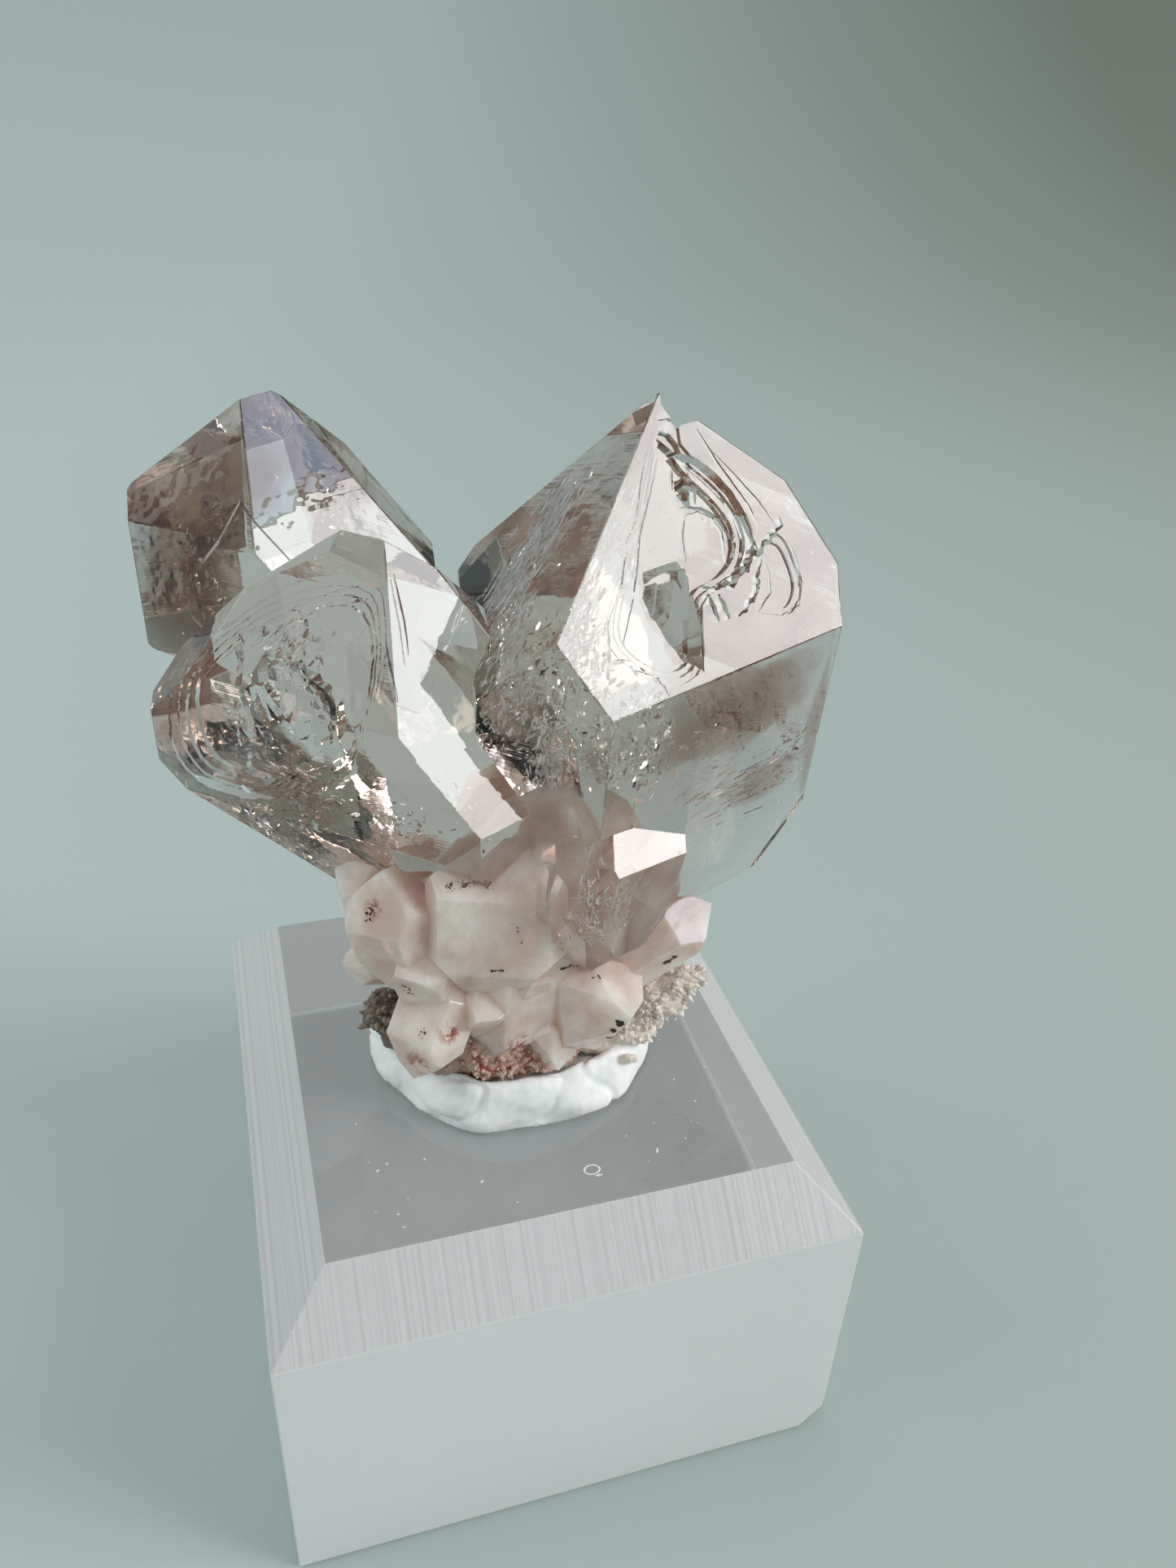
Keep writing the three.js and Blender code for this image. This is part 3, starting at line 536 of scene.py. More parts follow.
def saw(piece, cuts):
    """Cuts away what lies past each plane, given as a point and a normal, and closes the cut."""
    pick(piece)
    bpy.ops.object.mode_set(mode="EDIT")
    for point, normal in cuts:
        bpy.ops.mesh.select_all(action="SELECT")
        bpy.ops.mesh.bisect(plane_co=point, plane_no=normal, use_fill=True, clear_outer=True)
    bpy.ops.object.mode_set(mode="OBJECT")


def rough_block(name, centre):
    deselect()
    bpy.ops.mesh.primitive_cube_add(size=ROUGH_SIZE, location=centre)
    piece = bpy.context.object
    piece.name = name
    return fix_place(piece)


def crystal_axes(spec):
    axis = direction(spec["towards"], spec["lean"])
    level = direction(spec["turn"], 90)
    front = (level - axis * level.dot(axis)).normalized()
    return axis, front, axis.cross(front)


def face_normal(spec, name):
    axis, front, side = crystal_axes(spec)
    around = math.radians(60 * int(name[1]))
    out = front * math.cos(around) + side * math.sin(around)
    angle = math.radians(FACE_ANGLES[name[0]])
    return out * math.sin(angle) + axis * math.cos(angle)


def face_planes(spec, faces, below=0):
    """The planes of some of a crystal's faces, or a depth below them, each as a point and a normal."""
    planes = []
    for face in faces:
        normal = face_normal(spec, face)
        planes.append((Vector(spec["centre"]) + normal * (spec["faces"][face] - below), normal))
    return planes


def crystal(name, spec, edge=WORN_EDGE):
    """A crystal cut to its faces, with its edges very slightly worn."""
    piece = rough_block(name, spec["centre"])
    saw(piece, face_planes(spec, spec["faces"]))
    if edge:
        wear(piece, edge, 12)
    return piece


def base_spec(row, habit):
    centre, lean, towards, turn, radius, tip, root = row
    flatten = math.cos(math.radians(FACE_ANGLES["p"]))
    faces = {}
    for k in range(6):
        faces[f"m{k}"] = radius * habit[k]
        faces[f"p{k}"] = tip * flatten * (habit[k] if habit is WIDE_HABIT else HABIT[(k + 2) % 6])
        faces[f"q{k}"] = root * flatten * HABIT[(k + 3) % 6]
    return {"centre": centre, "lean": lean, "towards": towards, "turn": turn, "faces": faces}


def rounded(outline, steps=4):
    """The outline as a smooth closed curve through its points."""
    points = []
    count = len(outline)
    for i in range(count):
        a, b, c, d = (Vector(outline[(i + k) % count]) for k in (-1, 0, 1, 2))
        for s in range(steps):
            t = s / steps
            points.append(0.5 * (2 * b + (c - a) * t + (2 * a - 5 * b + 4 * c - d) * t * t
                                 + (3 * b - a - 3 * c + d) * t * t * t))
    return [tuple(p) for p in points]


def between(outer, inner, share, count=48):
    """An outline part of the way from one outline to another."""
    first = even(outer, count)
    second = even(inner, count)
    shift = min(range(count), key=lambda k: sum((Vector(first[i]) - Vector(second[(i + k) % count])).length
                                                for i in range(0, count, 6)))
    return [tuple(Vector(first[i]).lerp(Vector(second[(i + shift) % count]), share)) for i in range(count)]


def even(outline, count):
    """The outline again, as evenly spaced points."""
    ring = [Vector(p) for p in outline]
    ring.append(ring[0])
    lengths = [(b - a).length for a, b in zip(ring, ring[1:])]
    total = sum(lengths)
    points = []
    for k in range(count):
        reach = total * k / count
        for a, b, length in zip(ring, ring[1:], lengths):
            if reach <= length:
                points.append(tuple(a.lerp(b, reach / length)))
                break
            reach -= length
    return points


def jagged(path, size, seed, step=0.3):
    """The path again with a broken edge, as quartz chips."""
    chance = random.Random(seed)
    points = [Vector(path[0])]
    for a, b in zip(path, path[1:]):
        start = Vector(a)
        end = Vector(b)
        count = max(1, round((end - start).length / step))
        aside = Vector((start.y - end.y, end.x - start.x)).normalized()
        for k in range(1, count + 1):
            points.append(start.lerp(end, k / count) + aside * chance.uniform(-size, size))
    return [tuple(p) for p in points]


def chipped(outline, size, seed, step=0.3):
    """A closed outline with a broken edge."""
    return jagged(outline + outline[:1], size, seed, step)[:-1]


def ribbon(path, width):
    """The outline of a groove along a path, narrow at its ends."""
    points = [Vector(p) for p in path]
    last = len(points) - 1
    left = []
    right = []
    for i, point in enumerate(points):
        ahead = points[min(i + 1, last)] - points[max(i - 1, 0)]
        aside = Vector((-ahead.y, ahead.x)).normalized()
        half = width / 2 * (0.3 + 0.7 * math.sin(math.pi * i / last))
        left.append(tuple(point + aside * half))
        right.append(tuple(point - aside * half))
    return left + right[::-1]


def shrunk(outline, share):
    middle = sum((Vector(p) for p in outline), Vector((0, 0))) / len(outline)
    return [tuple(middle + (Vector(p) - middle) * share) for p in outline]


def face_frame(spec, faces):
    """The foot of the crystal's middle on a face, or on the mean of two, and the ways across, up and out."""
    normal = sum((face_normal(spec, face) for face in faces), Vector()).normalized()
    across = crystal_axes(spec)[0].cross(normal).normalized()
    place = Vector(spec["centre"]) + normal * max(spec["faces"][face] for face in faces)
    return place, across, normal.cross(across), normal


def window(piece, spec, faces, outline, depth):
    """Takes a window out of a crystal: all that lies under the outline, down to depth below its faces."""
    place, across, up, normal = face_frame(spec, faces)
    drop = depth if len(faces) == 1 else depth + CUTTER_UNDER_EDGE
    cutter = sheet(len(outline))
    for vertex, (x, y) in zip(cutter.data.vertices, outline):
        vertex.co = place + across * x + up * y - normal * drop
    raised(cutter, [(normal * (drop + CUTTER_OVER_FACE), None)])
    if len(faces) > 1:
        core = rough_block("core", spec["centre"])
        saw(core, face_planes(spec, faces, depth))
        combine(cutter, core, "DIFFERENCE")
    combine(piece, cutter, "DIFFERENCE")


def score(piece, spec, faces, contours):
    """Cuts growth contours and cracks into a crystal's face as narrow grooves."""
    for seed, (path, width, depth, rough) in enumerate(contours):
        window(piece, spec, faces, ribbon(jagged(path, rough, seed), width), depth)


def pit(piece, spec, faces, pits):
    """Takes out pits that have the crystal's own face directions."""
    place, across, up, normal = face_frame(spec, faces)
    for middle, radius in pits:
        centre = place + across * middle[0] + up * middle[1] + normal * middle[2]
        reach = radius * PIT_REACH
        row = (tuple(centre), spec["lean"], spec["towards"], spec["turn"], radius, reach, reach)
        combine(piece, crystal("pit", base_spec(row, HABIT), edge=0), "DIFFERENCE")


def scoop(piece, spec, faces, middle, sizes):
    """Takes a smooth bowl out of a crystal."""
    place, across, up, normal = face_frame(spec, faces)
    deselect()
    bpy.ops.mesh.primitive_uv_sphere_add(segments=64, ring_count=32, radius=1)
    ball = bpy.context.object
    bpy.ops.object.shade_smooth()
    centre = place + across * middle[0] + up * middle[1] + normal * middle[2]
    ball.matrix_world = placed(centre, across * sizes[0], up * sizes[1], normal * sizes[2])
    combine(piece, fix_place(ball), "DIFFERENCE")


def tread(piece, spec, face, top, bottom):
    """Takes one shallow sloping step out of a face, between two heights up it."""
    place, across, up, normal = face_frame(spec, [face])
    edge = (up + across * TREAD_SLANT).normalized()
    slope = math.radians(TREAD_SLOPE)
    floor = normal * math.cos(slope) + edge * math.sin(slope)
    block = rough_block("tread", place + up * top)
    saw(block, [
        (place + up * top, edge),
        (place + up * bottom, -edge),
        (place + up * bottom - normal * TREAD_DEPTH, -floor),
    ])
    combine(piece, block, "DIFFERENCE")


def settle(piece, *nodes, slot, finish, smooth=None):
    """Finishes a piece: metres, its material, its body, and the node that it stands for."""
    piece.scale = (MM, MM, MM)
    fix_place(piece)
    if smooth is not None:
        bpy.ops.object.shade_smooth_by_angle(angle=math.radians(smooth))
    piece.data.materials.clear()
    piece.data.materials.append(made(finish))
    if nodes:
        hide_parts(*nodes)
    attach(piece, "root")
    return piece


def right_crystal():
    piece = crystal("right_crystal", RIGHT_CRYSTAL)
    face = ["p0"]
    rim = rounded(RIGHT_RIM)
    floor = rounded(RIGHT_FLOOR)
    for share, depth in RIGHT_STEPS:
        window(piece, RIGHT_CRYSTAL, face, between(rim, floor, share), depth)
    window(piece, RIGHT_CRYSTAL, face, chipped(RIGHT_WELL, size=0.1, seed=3, step=0.5), WELL_DEPTH)
    pit(piece, RIGHT_CRYSTAL, face, RIGHT_PITS)
    loop = rounded(RIGHT_LOOP)
    share, depth = LOOP_FLOOR
    window(piece, RIGHT_CRYSTAL, face, loop, LOOP_DEPTH)
    window(piece, RIGHT_CRYSTAL, face, shrunk(loop, share), depth)
    window(piece, RIGHT_CRYSTAL, face, RIGHT_NOTCH, NOTCH_DEPTH)
    score(piece, RIGHT_CRYSTAL, face, RIGHT_CONTOURS)
    return piece


def left_crystal():
    piece = crystal("left_crystal", LEFT_CRYSTAL)
    hopper = ["p5", "m5"]
    rim = rounded(LEFT_RIM)
    ledge = rounded(LEFT_LEDGE)
    for share, depth in LEFT_STEPS:
        outline = chipped(between(rim, ledge, share), size=0.05, seed=depth)
        window(piece, LEFT_CRYSTAL, hopper, outline, depth)
    scoop(piece, LEFT_CRYSTAL, hopper, *LEFT_BOWL)
    pit(piece, LEFT_CRYSTAL, hopper, LEFT_CHANNEL)
    for seed, (outline, depth, rough) in enumerate(LEFT_PITS):
        window(piece, LEFT_CRYSTAL, hopper, chipped(outline, rough, seed), depth)
    score(piece, LEFT_CRYSTAL, hopper, LEFT_CONTOURS)
    score(piece, LEFT_CRYSTAL, ["p0"], LEFT_FACE_CONTOURS)
    for top, bottom in zip(LEFT_TREADS, LEFT_TREADS[1:]):
        tread(piece, LEFT_CRYSTAL, "p0", top, bottom)
    return piece


def clear_crystals():
    piece = right_crystal()
    combine(piece, left_crystal(), "UNION", use_self=True)
    for spec in (BACK_CRYSTAL, SIDE_CRYSTAL, BRIGHT_CRYSTAL):
        combine(piece, crystal("grown_on", spec), "UNION", use_self=True)
    piece.name = "clear_crystals"
    return piece


def random_way(chance):
    return Vector([chance.gauss(0, 1) for _ in range(3)]).normalized()


def somewhere(chance, middle, reach):
    """A random place within reach of a middle."""
    return Vector([m + r * chance.uniform(-1, 1) for m, r in zip(middle, reach)])


def flakes_inside(crystals, name, rows, thickness, seed, finish):
    """Thin flakes inside the crystals: one is modelled, then copied at many lengths and turns."""
    flake = raised(sheet(7, 0.5), [((0, 0, 1), None)])
    chance = random.Random(seed)
    groups = []
    for middle, spread, (azimuth, lean), stray, count, length, width in rows:
        flakes = []
        for _ in range(count):
            place = Vector([m + s * chance.gauss(0, 0.5) for m, s in zip(middle, spread)])
            long = (direction(azimuth, lean) + stray * random_way(chance)).normalized()
            side = long.cross(random_way(chance)).normalized()
            size = chance.uniform(0.4, 1.3)
            _, surface, out, _ = crystals.closest_point_on_mesh(place)
            if (place - surface).dot(out) > 0 or (place - surface).length < length * size * 0.5 + FLAKE_DEPTH:
                continue
            one = copy_of(flake, name)
            one.data.transform(placed(place, long * length * size, side * width * size,
                                      long.cross(side) * thickness))
            flakes.append(one)
        groups.append(merge(flakes, name))
    bpy.data.objects.remove(flake)
    return settle(merge(groups, name), slot="quartz", finish=finish)


def smoky_patches(crystals):
    """Clouds of darker smoky tint, each an uneven ball kept inside the crystals."""
    inner = copy_of(crystals, "inner")
    piece = None
    for k, (middle, sizes, (azimuth, lean)) in enumerate(SMOKE):
        one = round_lump(4)
        for vertex in one.data.vertices:
            vertex.co *= 1 + 0.35 * noise.fractal(vertex.co * 1.6 + Vector((9 * k, 0, 0)), 1.0, 2.0, 3)
        long = direction(azimuth, lean)
        side = long.cross(Vector((0.2, 0.9, 0.1))).normalized()
        one.data.transform(placed(middle, side * sizes[0], long.cross(side) * sizes[1], long * sizes[2]))
        if piece:
            combine(piece, one, "UNION")
        piece = piece or one
    modify(inner, "DISPLACE", strength=-SMOKE_DEPTH, mid_level=0)
    combine(piece, inner, "INTERSECT")
    piece.name = "smoky_patches"
    return settle(piece, slot="quartz", finish=smoky_patch, smooth=60)


def base_crystals():
    piece = None
    for i, row in enumerate(BASE_CRYSTALS):
        spec = base_spec(row, WIDE_HABIT if i == BROAD_FRONTED else HABIT)
        one = crystal("base_crystal", spec, WORN_BASE_EDGE)
        if piece:
            combine(piece, one, "UNION")
        piece = piece or one
    ground_away = rough_block("ground_away", (0, 0, CLUSTER_FLOOR - ROUGH_SIZE / 2))
    combine(piece, ground_away, "DIFFERENCE")
    piece.name = "base_crystals"
    return piece


def oxide_specks(base):
    """Black grains and dendrites grown on the base crystals."""
    grain = round_lump(1)
    for vertex in grain.data.vertices:
        vertex.co *= 1 + 0.4 * noise.noise(vertex.co * 1.3)
    chance = random.Random(21)
    grains = []
    for middle, reach, count, size in OXIDE:
        for _ in range(count):
            _, surface, out, _ = base.closest_point_on_mesh(somewhere(chance, middle, reach))
            side = out.cross(random_way(chance)).normalized()
            big = size * chance.uniform(0.5, 1.2)
            one = copy_of(grain, "grain")
            one.data.transform(placed(surface, side * big * 1.5, out.cross(side) * big, out * big * 0.35))
            grains.append(one)
    bpy.data.objects.remove(grain)
    return settle(merge(grains, "iron_oxide_specks"), slot="matrix", finish=black_iron_oxide, smooth=40)


def display_block():
    deselect()
    bpy.ops.mesh.primitive_cube_add(size=1, location=(0, 0, BLOCK_HEIGHT / 2))
    piece = bpy.context.object
    piece.name = "display_block"
    piece.scale = (BLOCK_WIDTH, BLOCK_DEPTH, BLOCK_HEIGHT)
    fix_place(piece)
    cuts = []
    for x, y in ((1, 0), (-1, 0), (0, 1), (0, -1)):
        edge = Vector((x * BLOCK_WIDTH / 2, y * BLOCK_DEPTH / 2, BLOCK_HEIGHT - BEVEL_RISE))
        cuts.append((edge, Vector((x * BEVEL_RISE, y * BEVEL_RISE, BEVEL_WIDTH))))
    corner = Vector((BLOCK_WIDTH / 2, -BLOCK_DEPTH / 2, 0))
    for tilt, share in CHIP_CUTS:
        way = Vector(tilt).normalized()
        cuts.append((corner - way * (CHIP * share), way))
    saw(piece, cuts)
    wear(piece, WORN_BLOCK_EDGE, 20)
    return settle(piece, "acrylic_block", slot="acrylic", finish=cast_acrylic)


def putty_radius(angle):
    place = (angle / (2 * math.pi) % 1) * len(PUTTY_RADII)
    before = int(place) % len(PUTTY_RADII)
    after = (before + 1) % len(PUTTY_RADII)
    blend = (1 - math.cos(math.pi * (place - int(place)))) / 2
    return PUTTY_RADII[before] * (1 - blend) + PUTTY_RADII[after] * blend


def putty_ring():
    """A disc raised ring by ring to the putty's section, its edge drawn out unevenly, then thumbed."""
    steps = []
    for (share, height), (next_share, next_height) in zip(PUTTY_SECTION, PUTTY_SECTION[1:]):
        steps.append(((0, 0, next_height - height), next_share / share))
    piece = raised(sheet(PUTTY_SIDES, PUTTY_SECTION[0][0]), steps)
    piece.name = "putty_ring"
    for vertex in piece.data.vertices:
        x, y, z = vertex.co
        angle = math.atan2(y, x)
        dent = 1 + 0.018 * math.sin(5 * angle + z) + 0.012 * math.sin(11 * angle - 2 * z)
        radius = putty_radius(angle) * dent
        rise = z * (1 + 0.05 * math.sin(3 * angle + 1)) if z > 0.1 else 0
        vertex.co = (PUTTY_CENTRE[0] + x * radius, PUTTY_CENTRE[1] + y * radius, BLOCK_HEIGHT + rise)
    modify(piece, "SUBSURF", levels=2, render_levels=2)
    ways = [vertex.normal.copy() for vertex in piece.data.vertices]
    for vertex, out in zip(piece.data.vertices, ways):
        if vertex.co.z > BLOCK_HEIGHT + 0.3:
            knead = noise.noise(vertex.co * 0.45) * 0.22 + noise.noise(vertex.co * 1.7) * 0.06
            fold = max(0, 0.09 - abs(noise.noise(vertex.co * 0.22 + Vector((7, 0, 3))))) * 2.6
            vertex.co -= out * (0.14 + knead + fold)
    return settle(piece, "mounting_putty", slot="putty", finish=white_putty, smooth=50)


def matrix_crust():
    """Rough lumps grown into one mass, broken up by noise, with little quartz points over it."""
    lumps = []
    for centre, size in CRUST_LUMPS:
        one = round_lump(3, centre)
        one.scale = size
        lumps.append(fix_place(one))
    piece = merge(lumps, "rusty_crust")
    modify(piece, "REMESH", mode="VOXEL", voxel_size=CRUST_GRAIN)
    ways = [vertex.normal.copy() for vertex in piece.data.vertices]
    for vertex, out in zip(piece.data.vertices, ways):
        vertex.co += out * (0.34 * noise.fractal(vertex.co * 0.9, 0.8, 2.2, 4) - 0.12)
        vertex.co.z = max(vertex.co.z, CRUST_FLOOR)
    settle(druse_points(piece), slot="quartz", finish=druse_quartz)
    return settle(piece, "matrix_crust", slot="matrix", finish=stained_matrix, smooth=24)


def druse_points(crust):
    """One little quartz point, copied over the crust at many sizes and leans."""
    point = raised(sheet(6, 0.3), [((0, 0, 0.62), 0.92), ((0, 0, 0.38), 0.12)])
    chance = random.Random(5)
    groups = []
    for middle, reach, count, length, way in DRUSE:
        points = []
        for _ in range(count):
            _, surface, out, _ = crust.closest_point_on_mesh(somewhere(chance, middle, reach))
            axis = (out + Vector(way) + 0.7 * random_way(chance)).normalized()
            side = axis.cross(random_way(chance)).normalized()
            size = length * chance.uniform(0.4, 1.2)
            one = copy_of(point, "point")
            foot = surface - axis * size * 0.35
            one.data.transform(placed(foot, side * size, axis.cross(side) * size, axis * size))
            points.append(one)
        groups.append(merge(points, "druse"))
    bpy.data.objects.remove(point)
    return merge(groups, "druse_points")


def dust_and_mark():
    """Dust on the block's polished top, and a ring where a drop has dried."""
    speck = round_lump(1)
    chance = random.Random(11)
    clear_of_edge = BEVEL_WIDTH + DUST_FROM_EDGE
    specks = []
    for middle, reach, count in DUST:
        for _ in range(count):
            x, y = somewhere(chance, middle, reach)
            if math.hypot(x - PUTTY_CENTRE[0], y - PUTTY_CENTRE[1]) < DUST_FROM_PUTTY:
                continue
            if abs(x) > BLOCK_WIDTH / 2 - clear_of_edge or y < clear_of_edge - BLOCK_DEPTH / 2:
                continue
            size = chance.uniform(0.03, 0.09)
            one = copy_of(speck, "speck")
            turn = Matrix.Rotation(chance.uniform(0, math.pi), 4, "Z")
            shape = Matrix.Diagonal((size * chance.uniform(1, 3.5), size, size * 0.6, 1))
            one.data.transform(Matrix.Translation((x, y, BLOCK_HEIGHT + size * 0.4)) @ turn @ shape)
            specks.append(one)
    bpy.data.objects.remove(speck)
    deselect()
    bpy.ops.mesh.primitive_torus_add(major_radius=0.5, minor_radius=0.07, major_segments=40, minor_segments=8,
                                     location=(*RING_MARK, BLOCK_HEIGHT))
    ring = bpy.context.object
    ring.scale = (1, 0.75, 0.5)
    specks.append(fix_place(ring))
    return settle(merge(specks, "dust_and_ring_mark"), slot="putty", finish=pale_dust)


def floor_and_backdrop():
    """A round floor that curves up gently all round, like seamless paper."""
    piece = sheet(96, FLOOR_RADIUS)
    piece.name = "paper_floor"
    piece.location.z = -0.2 * MM
    fix_place(piece)
    bpy.ops.object.mode_set(mode="EDIT")
    bpy.ops.mesh.select_mode(type="EDGE")
    bpy.ops.mesh.select_all(action="SELECT")
    bpy.ops.mesh.region_to_loop()
    reach = FLOOR_RADIUS
    for i in range(CURVE_STEPS):
        angle = math.radians(CURVE_TURN * (i + 0.5))
        grown = reach + CURVE_STEP * math.cos(angle)
        rise = (0, 0, CURVE_STEP * math.sin(angle))
        bpy.ops.mesh.extrude_edges_move(TRANSFORM_OT_translate={"value": rise})
        bpy.ops.transform.resize(value=(grown / reach, grown / reach, 1))
        reach = grown
    bpy.ops.mesh.select_all(action="SELECT")
    bpy.ops.mesh.normals_make_consistent(inside=True)
    bpy.ops.object.mode_set(mode="OBJECT")
    bpy.ops.object.shade_smooth_by_angle(angle=math.radians(30))
    piece.data.materials.append(made(paper_with_painted_shade))


def add(tree, kind, settings=None, links=None):
    """Adds a shader node, sets its options and sockets (a hex code becomes a linear colour), and links its
    inputs to sockets or to the first outputs of nodes."""
    node = tree.nodes.new("ShaderNode" + kind)
    for key, value in (settings or {}).items():
        if isinstance(value, str) and value.startswith("#"):
            value = (*linear(value), 1)
        if isinstance(key, int) or key in node.inputs:
            node.inputs[key].default_value = value
        else:
            setattr(node, key, value)
    for key, source in (links or {}).items():
        socket = source.outputs[0] if isinstance(source, bpy.types.Node) else source
        tree.links.new(socket, node.inputs[key])
    return node


def mark(ramp, *stops):
    """Gives a ramp its marks, each a place from 0 to 1 and a hex code or a share."""
    marks = ramp.color_ramp.elements
    for k, (place, tone) in enumerate(stops):
        one = marks[0] if k == 0 else marks[-1] if k == len(stops) - 1 else marks.new(place)
        one.position = place
        one.color = (*(linear(tone) if isinstance(tone, str) else (tone, tone, tone)), 1)


def made(finish):
    """The material that one of the finishes below describes, named after it. A finish gets the tree and the
    place on the piece that its patterns follow, and gives what the material's output is linked to."""
    material = bpy.data.materials.new(finish.__name__)
    material.use_nodes = True
    tree = material.node_tree
    tree.nodes.clear()
    place = add(tree, "TexCoord").outputs["Object"]
    add(tree, "OutputMaterial", links=finish(tree, place))
    return material


def clear_smoky_quartz(tree, place):
    """Rock crystal with a light smoky tint: glass-clear, with growth lines across the prism faces."""
    axis = direction(-96, 8)
    along = add(tree, "VectorMath", {"operation": "DOT_PRODUCT", 1: axis}, {0: place})
    lines = add(tree, "TexNoise",
                {"noise_dimensions": "1D", "Scale": 1 / (0.45 * MM), "Detail": 4, "Roughness": 0.6},
                {"W": along.outputs["Value"]})
    outward = add(tree, "NewGeometry").outputs["Normal"]
    facing = add(tree, "VectorMath", {"operation": "DOT_PRODUCT", 1: axis}, {0: outward})
    size = add(tree, "Math", {"operation": "ABSOLUTE"}, {0: facing.outputs["Value"]})
    on_prism = add(tree, "MapRange", {"From Min": 0.1, "From Max": 0.4, "To Min": 1, "To Max": 0.12},
                   {"Value": size})
    ridged = add(tree, "Math", {"operation": "MULTIPLY"}, {0: lines, 1: on_prism})
    patchy = add(tree, "TexNoise", {"Scale": 1 / (2.4 * MM), "Detail": 2}, {"Vector": place})
    fade = add(tree, "MapRange", {"From Min": 0.45, "From Max": 0.62}, {"Value": patchy})
    broken = add(tree, "Math", {"operation": "MULTIPLY"}, {0: ridged, 1: fade})
    striae = add(tree, "Bump", {"Strength": 0.5, "Distance": 0.05 * MM}, {"Height": broken})
    hills = add(tree, "TexNoise", {"Scale": 1 / (3.5 * MM), "Detail": 3}, {"Vector": place})
    wavy = add(tree, "Bump", {"Strength": 0.35, "Distance": 0.12 * MM}, {"Height": hills, "Normal": striae})
    body = add(tree, "BsdfPrincipled", CLEAR | {"Roughness": 0.0, "IOR": QUARTZ_IOR}, {"Normal": wavy})
    smoke = add(tree, "VolumeAbsorption", {"Color": "#CBA27C", "Density": 30})
    return {"Surface": body, "Volume": smoke}


def air_filled_crack(tree, place):
    """A crack holding a film of air: light from the quartz around it is thrown back like silver."""
    ripple = add(tree, "TexNoise", {"Scale": 1 / (0.3 * MM), "Detail": 2}, {"Vector": place})
    uneven = add(tree, "Bump", {"Strength": 0.3, "Distance": 0.02 * MM}, {"Height": ripple})
    body = add(tree, "BsdfPrincipled", CLEAR | {"Roughness": 0.04, "IOR": 1 / QUARTZ_IOR}, {"Normal": uneven})
    return {"Surface": body}


def smoky_patch(tree, place):
    """Quartz darkened by radiation colour centres: a brown tint in the same clear crystal, with no skin."""
    body = add(tree, "BsdfPrincipled", CLEAR | {"Roughness": 0.0, "IOR": 1.0})
    smoke = add(tree, "VolumeAbsorption", {"Color": "#B56E34", "Density": 220})
    return {"Surface": body, "Volume": smoke}


def cloudy_pink_quartz(tree, place):
    """Quartz full of fine fluid veils, so milky inside under glassy faces, pinkish with iron."""
    clouds = add(tree, "TexNoise", {"Scale": 1 / (4 * MM), "Detail": 5, "Roughness": 0.6}, {"Vector": place})
    colour = add(tree, "ValToRGB", links={"Fac": clouds})
    mark(colour, (0.34, "#FCD8CC"), (0.66, "#FFECE4"))
    stain = None
    for middle, reach in RUST:
        away = add(tree, "VectorMath", {"operation": "DISTANCE", 1: Vector(middle) * MM}, {0: place})
        near = add(tree, "MapRange", {"From Min": reach * MM, "From Max": reach * 0.3 * MM},
                   {"Value": away.outputs["Value"]})
        stain = add(tree, "Math", {"operation": "MAXIMUM"}, {0: stain, 1: near}) if stain else near
    blotch = add(tree, "TexNoise", {"Scale": 1 / (0.7 * MM), "Detail": 5, "Roughness": 0.7},
                 {"Vector": place})
    broken = add(tree, "MapRange", {"From Min": 0.46, "From Max": 0.56}, {"Value": blotch})
    rust = add(tree, "Math", {"operation": "MULTIPLY"}, {0: stain, 1: broken})
    stained = add(tree, "Mix", {"data_type": "RGBA", 7: "#A4553A"}, {0: rust, 6: colour})
    hills = add(tree, "TexNoise", {"Scale": 1 / (1.1 * MM), "Detail": 4}, {"Vector": place})
    uneven = add(tree, "Bump", {"Strength": 0.4, "Distance": 0.06 * MM}, {"Height": hills})
    clearness = add(tree, "MapRange", {"From Min": 0.4, "From Max": 0.65, "To Min": 0.34, "To Max": 0.1},
                    {"Value": clouds})
    body = add(tree, "BsdfPrincipled",
               {"Roughness": 0.06, "IOR": QUARTZ_IOR, "Subsurface Weight": 0.8,
                "Subsurface Radius": (1.0, 0.78, 0.66), "Subsurface Scale": 2.2 * MM},
               {"Base Color": stained.outputs[2], "Normal": uneven, "Transmission Weight": clearness})
    return {"Surface": body}


